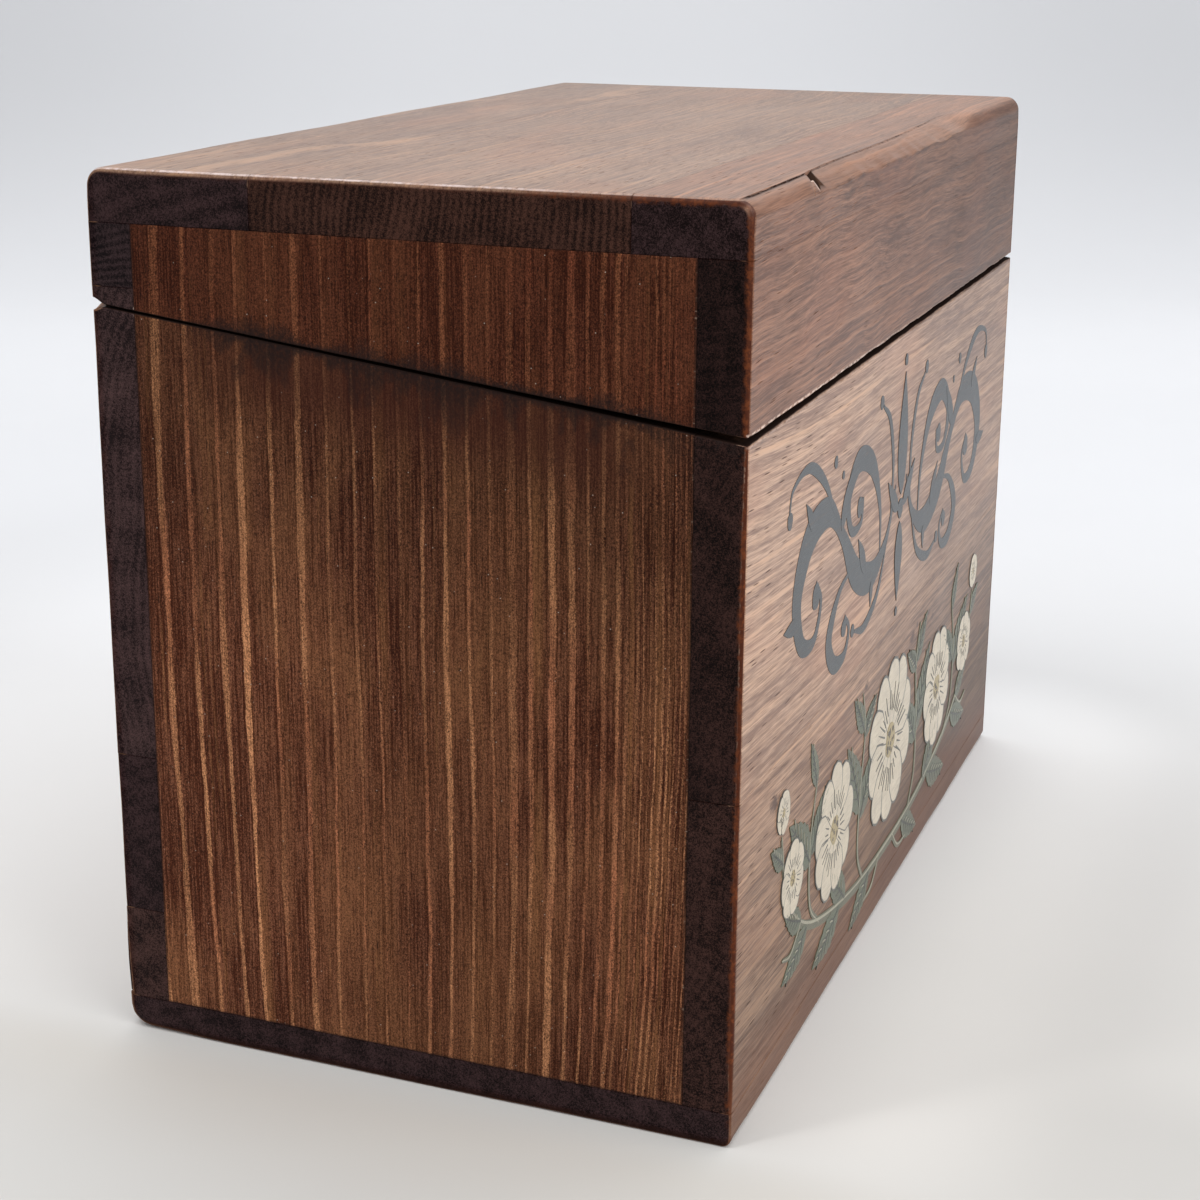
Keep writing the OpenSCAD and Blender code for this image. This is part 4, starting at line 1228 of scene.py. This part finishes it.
def paint(name, colour, streaks=0.5, bare_wood=0.5):
    """Thin satin paint; the grain of the board shows in it as faint streaks."""
    g = Graph(name)
    x, y, z = g.place()
    bend = (x + 20.0).max(-60.0).min(0.0)
    zz = z - bend * bend * 0.0009
    thread = g.noise(x * 0.075, 2.0, zz * 3.0, 3.0, 0.6)
    hair = g.noise(x * 0.4, 5.0, zz * 8.0, 2.0, 0.6)
    dab = g.noise(x * 0.35, 8.0, z * 0.35, 3.0, 0.6)
    k = 1.0 + (thread - 0.5) * streaks + (hair - 0.5) * streaks + (dab - 0.5) * 0.5
    c = g.scale_colour(colour, k)
    bare = (thread * 0.5 + hair * 0.5).falling(0.37, 0.46) * bare_wood
    c = g.mix(bare, c, (0.22, 0.130, 0.090))
    n1 = g.bump(g.noise(x * 0.03, y * 0.045, z * 0.045, 1.0), 0.0012, 0.5)
    n2 = g.bump(thread + hair * 0.7, 0.00009, 0.6, n1)
    return g.surface(c, 0.36 + (dab - 0.5) * 0.1, n2, level=0.34)


rng = np.random.default_rng(7)
scroll = []
for pts, widths in (
    (((3.2, 65.7), (8, 59.0), (16, 55.9), (25, 58.6), (32, 65.2), (40, 70.8), (49, 69.6), (54.0, 63.2), (51.5, 56.6), (45.5, 55.4), (42.6, 59.7), (45.2, 62.9)),
     (0.5, 2.0, 4.6, 4.2, 2.2, 4.4, 5.0, 3.4, 1.6, 0.8)),
    (((11.5, 57.2), (12.5, 64.8), (17.5, 71.8), (25.0, 74.2), (30.2, 70.3), (28.2, 65.4), (23.2, 65.2), (22.2, 68.6)), (0.4, 1.6, 3.4, 3.2, 1.6, 0.8)),
    (((27.0, 60.0), (33.5, 58.2), (38.0, 53.1), (35.2, 48.9), (29.8, 48.5), (27.6, 51.6), (30.0, 54.0)), (0.4, 1.2, 2.8, 2.6, 1.4, 0.7)),
    (((36.5, 69.3), (42.5, 75.3), (50.0, 78.9), (57.0, 77.9), (58.6, 74.9)), (0.4, 1.3, 1.7, 0.9, 0.5)),
    (((6.0, 61.4), (5.4, 69.0), (8.2, 76.1), (12.6, 79.1)), (0.3, 1.1, 1.4, 0.5)),
    (((7.5, 58.7), (12.0, 52.3), (19.0, 49.4), (24.6, 50.3)), (0.3, 1.2, 1.6, 0.5)),
):
    scroll += both(stroke(pts, widths))
for px, pz, r in ((45.0, 61.1, 1.75), (23.9, 67.6, 1.45), (30.4, 52.5, 1.25), (58.2, 74.2, 1.1), (13.6, 79.8, 1.0), (25.6, 50.7, 0.95), (37.4, 76.8, 0.85), (33.4, 74.2, 0.6)):
    scroll += both(disc_shape(px, pz, r, rng))
for px, pz, deg, length, width, bend in ((33.5, 66.7, 118, 9.0, 3.4, 0.14), (20.0, 57.2, 64, 7.2, 2.8, -0.16), (47.5, 70.2, 62, 5.6, 2.2, -0.2),
                                         (53.4, 60.4, -14, 6.0, 2.4, 0.25), (16.0, 55.0, -100, 3.6, 2.0, 0.2)):
    scroll += both(turned(leaf_shape(length, width, bend), px, pz, deg))
scroll += [turned(leaf_shape(18.0, 6.2), 0, 63.6, 90), turned(leaf_shape(12.0, 4.8), 0, 59.6, -90)]
scroll += both(turned(leaf_shape(8.6, 3.0, 0.18), 1.2, 61.8, 28))
scroll += [disc_shape(0, 61.6, 1.5, rng), disc_shape(0, 83.3, 0.85, rng), disc_shape(0, 46.0, 0.7, rng)]

vine = ((-57.5, 33.0), (-54.0, 23.0), (-43.0, 15.0), (-22.0, 10.2), (0.0, 9.0), (22.0, 10.2), (43.0, 15.0), (54.0, 23.0), (57.5, 33.0))
stems = [stroke(vine, (0.7, 1.2, 1.6, 1.7, 1.7, 1.7, 1.6, 1.2, 0.7))]
stem_light = [stroke([(px, pz + 0.35) for px, pz in vine], (0.2, 0.35, 0.4, 0.3, 0.45, 0.3, 0.4, 0.35, 0.2))]
for pts in (((14.0, 9.5), (17.5, 15.0), (17.2, 24.0), (15.6, 33.0), (17.6, 39.0)), ((38.0, 13.2), (43.0, 18.0), (43.6, 27.0), (41.0, 35.0)),
            ((4.0, 9.2), (8.0, 5.9), (13.0, 5.4)), ((47.0, 17.2), (51.5, 14.6), (55.5, 15.4))):
    stems += both(stroke(pts, (1.0, 0.9, 0.8, 0.5)))
    stem_light += both(stroke([(px + 0.2, pz + 0.1) for px, pz in pts], (0.2, 0.28, 0.25, 0.15)))
leaves, veins, leaf_light = [], [], []
for px, pz, deg, length, width, bend in (
    (17.0, 21.0, 62, 15.0, 7.0, -0.10), (17.0, 20.0, 128, 13.0, 6.2, 0.12), (16.2, 33.0, 52, 9.0, 4.2, -0.1), (16.2, 32.0, 140, 8.0, 3.8, 0.12),
    (43.4, 24.0, 48, 14.0, 6.4, -0.12), (43.0, 25.0, 130, 11.0, 5.2, 0.12), (41.3, 34.0, 70, 8.0, 3.6, -0.1), (10.0, 9.2, -30, 12.0, 5.0, 0.10),
    (27.0, 11.0, -22, 14.0, 5.6, 0.12), (44.0, 15.4, -26, 12.0, 4.8, 0.16), (24.0, 10.6, 42, 12.0, 5.6, -0.12), (47.0, 17.4, 20, 9.0, 4.2, 0.1),
    (56.4, 29.0, 40, 7.0, 3.4, -0.1),
):
    leaves += both(turned(leaf_shape(length, width, bend, 0.18, 7), px, pz, deg))
    s = np.linspace(0.03, 0.93, 8)
    veins += both(turned(stroke(np.column_stack([s * length, bend * length * s * s]), (0.40, 0.30, 0.14), 3), px, pz, deg))
    for k in np.linspace(0.2, 0.75, 5):
        for sg in (-1, 1):
            a = np.array([k * length, bend * length * k * k])
            b = a + (length * 0.13, sg * width * 0.30 * (1 - 0.5 * k))
            veins += both(turned(stroke((a, (a + b) / 2 + (0, sg * 0.06), b), (0.26, 0.22, 0.12), 3), px, pz, deg))
            if sg > 0:
                a, b = a + (length * 0.05, sg * width * 0.05), b + (length * 0.02, -sg * width * 0.03)
                leaf_light += both(turned(stroke((a, (a + b) / 2 + (0, sg * 0.1), b), (0.16, 0.24, 0.12), 3), px, pz, deg))
petals, rims, marks, hearts, beads = [], [], [], [], []
for fx, fz, R, n, sd in ((0.0, 26.0, 13.2, 10, 4), (31.5, 24.0, 9.8, 9, 17), (-31.5, 24.0, 9.8, 9, 31), (52.0, 25.5, 5.4, 7, 8), (-52.0, 25.5, 5.4, 7, 22),
                         (57.2, 36.5, 2.9, 5, 3), (-57.2, 36.5, 2.9, 5, 5)):
    r = np.random.default_rng(sd)
    turn = r.uniform(0, 360)
    for i in range(n):
        deg = turn + i * 360 / n + r.uniform(-4, 4)
        L, W = R * r.uniform(0.92, 1.02), 2 * math.pi * R / n * 0.84
        lobe = r.uniform(-0.12, 0.12)
        rims.append(turned(petal_shape(L + 0.028 * R, W + 0.05 * R, R * 0.16, lobe), fx, fz, deg))
        petals.append(turned(petal_shape(L, W, R * 0.18, lobe), fx, fz, deg))
        for k in (-1, 0, 1):
            a = r.uniform(0.30, 0.38) * R
            b = a + R * r.uniform(0.14, 0.32)
            marks.append(turned(stroke(((a, k * W * 0.13), ((a + b) / 2, k * W * 0.16), (b, k * W * 0.20)), (0.014 * R + 0.12, 0.010 * R + 0.1, 0.12), 2), fx, fz, deg))
    hearts.append(disc_shape(fx, fz, R * 0.205, r, 0.05))
    for i in range(int(6 + R)):
        a, q = r.uniform(0, 2 * math.pi), math.sqrt(r.uniform(0, 1)) * R * 0.17
        beads.append(disc_shape(fx + q * math.cos(a), fz + q * math.sin(a), 0.022 * R + 0.07, r, 0.0))

slate = paint("paint_slate", (0.045, 0.052, 0.057), 0.9, 0.30)
leaf_green = paint("paint_leaf", (0.088, 0.102, 0.068), 1.0, 0.45)
stem_green = paint("paint_stem", (0.105, 0.108, 0.072), 0.8, 0.4)
dark_line = paint("paint_line", (0.036, 0.042, 0.036), 0.5, 0.3)
cream = paint("paint_cream", (0.535, 0.470, 0.370), 0.34, 0.20)
pale_line = paint("paint_pale", (0.30, 0.285, 0.215), 0.4, 0.2)
mark_grey = paint("paint_mark", (0.100, 0.100, 0.090), 0.4, 0.1)
straw = paint("paint_straw", (0.34, 0.27, 0.14), 0.5, 0.1)
umber = paint("paint_umber", (0.070, 0.056, 0.040), 0.4, 0.0)

for name, shapes, level, mat in (
    ("paint_scrollwork", scroll, 42.084, slate),
    ("paint_stems", stems, 42.080, stem_green),
    ("paint_leaves", leaves, 42.094, leaf_green),
    ("paint_veins", veins, 42.120, dark_line),
    ("paint_leaf_lights", leaf_light, 42.122, pale_line),
    ("paint_stem_lights", stem_light, 42.120, pale_line),
    ("paint_marks", marks, 42.180, mark_grey),
    ("paint_hearts", hearts, 42.184, straw),
    ("paint_beads", beads, 42.187, umber),
):
    add(name, paint_mesh(name, shapes, level, 0.0008, 7 if name in ("paint_veins", "paint_beads", "paint_marks", "paint_hearts") else 60), "box", mat)
# each petal's dark rim lies just under it and over the petal before it
add("paint_petal_rims", paint_mesh("paint_petal_rims", rims, 42.1280, 0.0010, 51), "box", mark_grey)
add("paint_petals", paint_mesh("paint_petals", petals, 42.1285, 0.0010, 51), "box", cream)

# ---------------------------------------------------------------- hinges


def brass(name, base, dull):
    g = Graph(name)
    x, y, z = g.place()
    mott = g.noise(x * 0.5, y * 0.5, z * 0.5, 3.0, 0.6)
    fine = g.noise(x * 3.0, y * 9.0, z * 9.0, 2.0, 0.6)
    spot, lot = g.cells(x * 1.1, y * 1.1, z * 1.1)
    c = g.mix(mott.step(0.35, 0.7), base, dull)
    c = g.mix(spot.falling(0.1, 0.3) * lot.step(0.6, 0.8) * 0.6, c, (0.16, 0.09, 0.04))
    rough = 0.30 + (mott - 0.4) * 0.35 + (fine - 0.5) * 0.15
    return g.surface(c, rough, g.bump(fine + mott, 0.00004, 0.4), metallic=1.0, level=0.5)


hinge_brass = brass("hinge_brass", (0.72, 0.50, 0.22), (0.46, 0.29, 0.12))
screw_brass = brass("screw_brass", (0.78, 0.58, 0.28), (0.55, 0.37, 0.16))
for node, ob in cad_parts.items():
    if "hinge" in node:
        ob.data.materials.clear()
        ob.data.materials.append(screw_brass if "screws" in node else hinge_brass)

# ---------------------------------------------------------------- floor, light


def sweep(name):
    """Pale table that curves up into a wall behind the box."""
    ang = math.radians(24)
    # profile along the view: distance forwards, height
    prof = [(-1.6, 0.0)] + [(d, 0.0) for d in np.linspace(-1.2, 0.55, 15)]
    r = 0.75
    for a in np.linspace(0, math.pi / 2, 25)[1:]:
        prof.append((0.55 + r * math.sin(a), r - r * math.cos(a)))
    prof += [(1.3, v) for v in (0.9, 1.2, 1.6, 2.0)]
    f = Vector((math.sin(math.radians(68)), math.cos(math.radians(68)), 0))
    s = Vector((f.y, -f.x, 0))
    widths = np.concatenate([[-7.0, -5.0, -3.6], np.linspace(-2.4, 2.4, 25)])
    verts = [tuple(f * d + s * w + Vector((0, 0, h))) for d, h in prof for w in widths]
    n = len(widths)
    faces = [(i * n + j, i * n + j + 1, (i + 1) * n + j + 1, (i + 1) * n + j) for i in range(len(prof) - 1) for j in range(n - 1)]
    me = bpy.data.meshes.new(name)
    me.from_pydata(verts, [], faces)
    for p in me.polygons:
        p.use_smooth = True
    ob = bpy.data.objects.new(name, me)
    scene.collection.objects.link(ob)
    g = Graph("pale_table")
    x, y, z = g.place()
    n1 = g.noise(x * 0.02, y * 0.02, z * 0.02, 3.0, 0.6)
    along = x * f.x + y * f.y
    # painted light and shade: the table is paler further off, and the wall darker high up
    near = g.mix(n1, (0.585, 0.576, 0.553), (0.610, 0.601, 0.578))
    far = g.mix(n1, (0.712, 0.720, 0.744), (0.732, 0.740, 0.764))
    c = g.mix(along.step(-180, 260), near, far)
    c = g.mix(along.step(360, 900), c, (0.52, 0.526, 0.545))
    # painted shade: the far right of the wall, out of the picture, is darker
    c = g.mix((x * s.x + y * s.y).step(520, 880) * along.step(300, 800), c, (0.20, 0.20, 0.21))
    # painted light on the table beside the box where its shadows fall, behind it and in the middle of the wall, and a
    # slight painted fall-off towards the corners
    away = (((x.abs() - W2).max(0.0)).power(2.0) + ((y.abs() - D2).max(0.0)).power(2.0)).m("SQRT")
    behind = y.step(-5, 5)
    painted_light = x.step(-95, -60) * (behind * away.falling(40, 170) + (1.0 - behind) * away.falling(12, 42)) * 0.24
    side = x * s.x + y * s.y
    painted_light = painted_light + side.abs().falling(60, 330) * along.step(500, 900) * 0.13
    painted_light = painted_light - (1.0 - behind) * x.falling(-55, -35) * away.step(16, 60) * along.falling(-60, -20) * 0.09
    painted_light = painted_light + along.step(280, 480) * along.falling(580, 880) * 0.045
    c = g.scale_colour(c, painted_light + 1.0)
    c = g.mix(x.falling(-86, -74) * away.falling(3, 36) * 0.55, c, (0.625, 0.588, 0.535))  # painted warm light thrown from the wood on to the table
    me.materials.append(g.surface(c, 0.6, level=0.2))
    return ob


sweep("table")


def area(name, loc, target, size, power, colour=(1, 1, 1)):
    l = bpy.data.lights.new(name, "AREA")
    l.shape = "RECTANGLE"
    l.size, l.size_y = size
    l.energy = power
    l.color = colour
    ob = bpy.data.objects.new(name, l)
    scene.collection.objects.link(ob)
    d = Vector(target) - Vector(loc)
    ob.matrix_world = Matrix.Translation(loc) @ d.to_track_quat("-Z", "Y").to_matrix().to_4x4()
    ob.visible_camera = False
    return ob


area("over", (0.15, 0.0, 1.3), (0.10, 0.0, 0.0), (2.2, 2.0), 19.0, (1.0, 0.995, 0.985))
area("strip", (-0.52, 0.42, 1.25), (-0.05, 0.0, 0.1), (0.12, 0.9), 2.6, (1.0, 0.97, 0.95))
area("right", (-0.25, -1.28, 0.50), (0.00, 0.0, 0.03), (1.5, 0.9), 12.0, (1.0, 0.995, 0.985))

world = bpy.data.worlds.new("studio")
scene.world = world
world.use_nodes = True
bg = world.node_tree.nodes["Background"]
bg.inputs[0].default_value = (0.95, 0.97, 1.0, 1)
bg.inputs[1].default_value = 0.48

scene.view_settings.view_transform = "Standard"
scene.view_settings.look = "None"
scene.view_settings.exposure = 0.0
scene.view_settings.gamma = 1.0
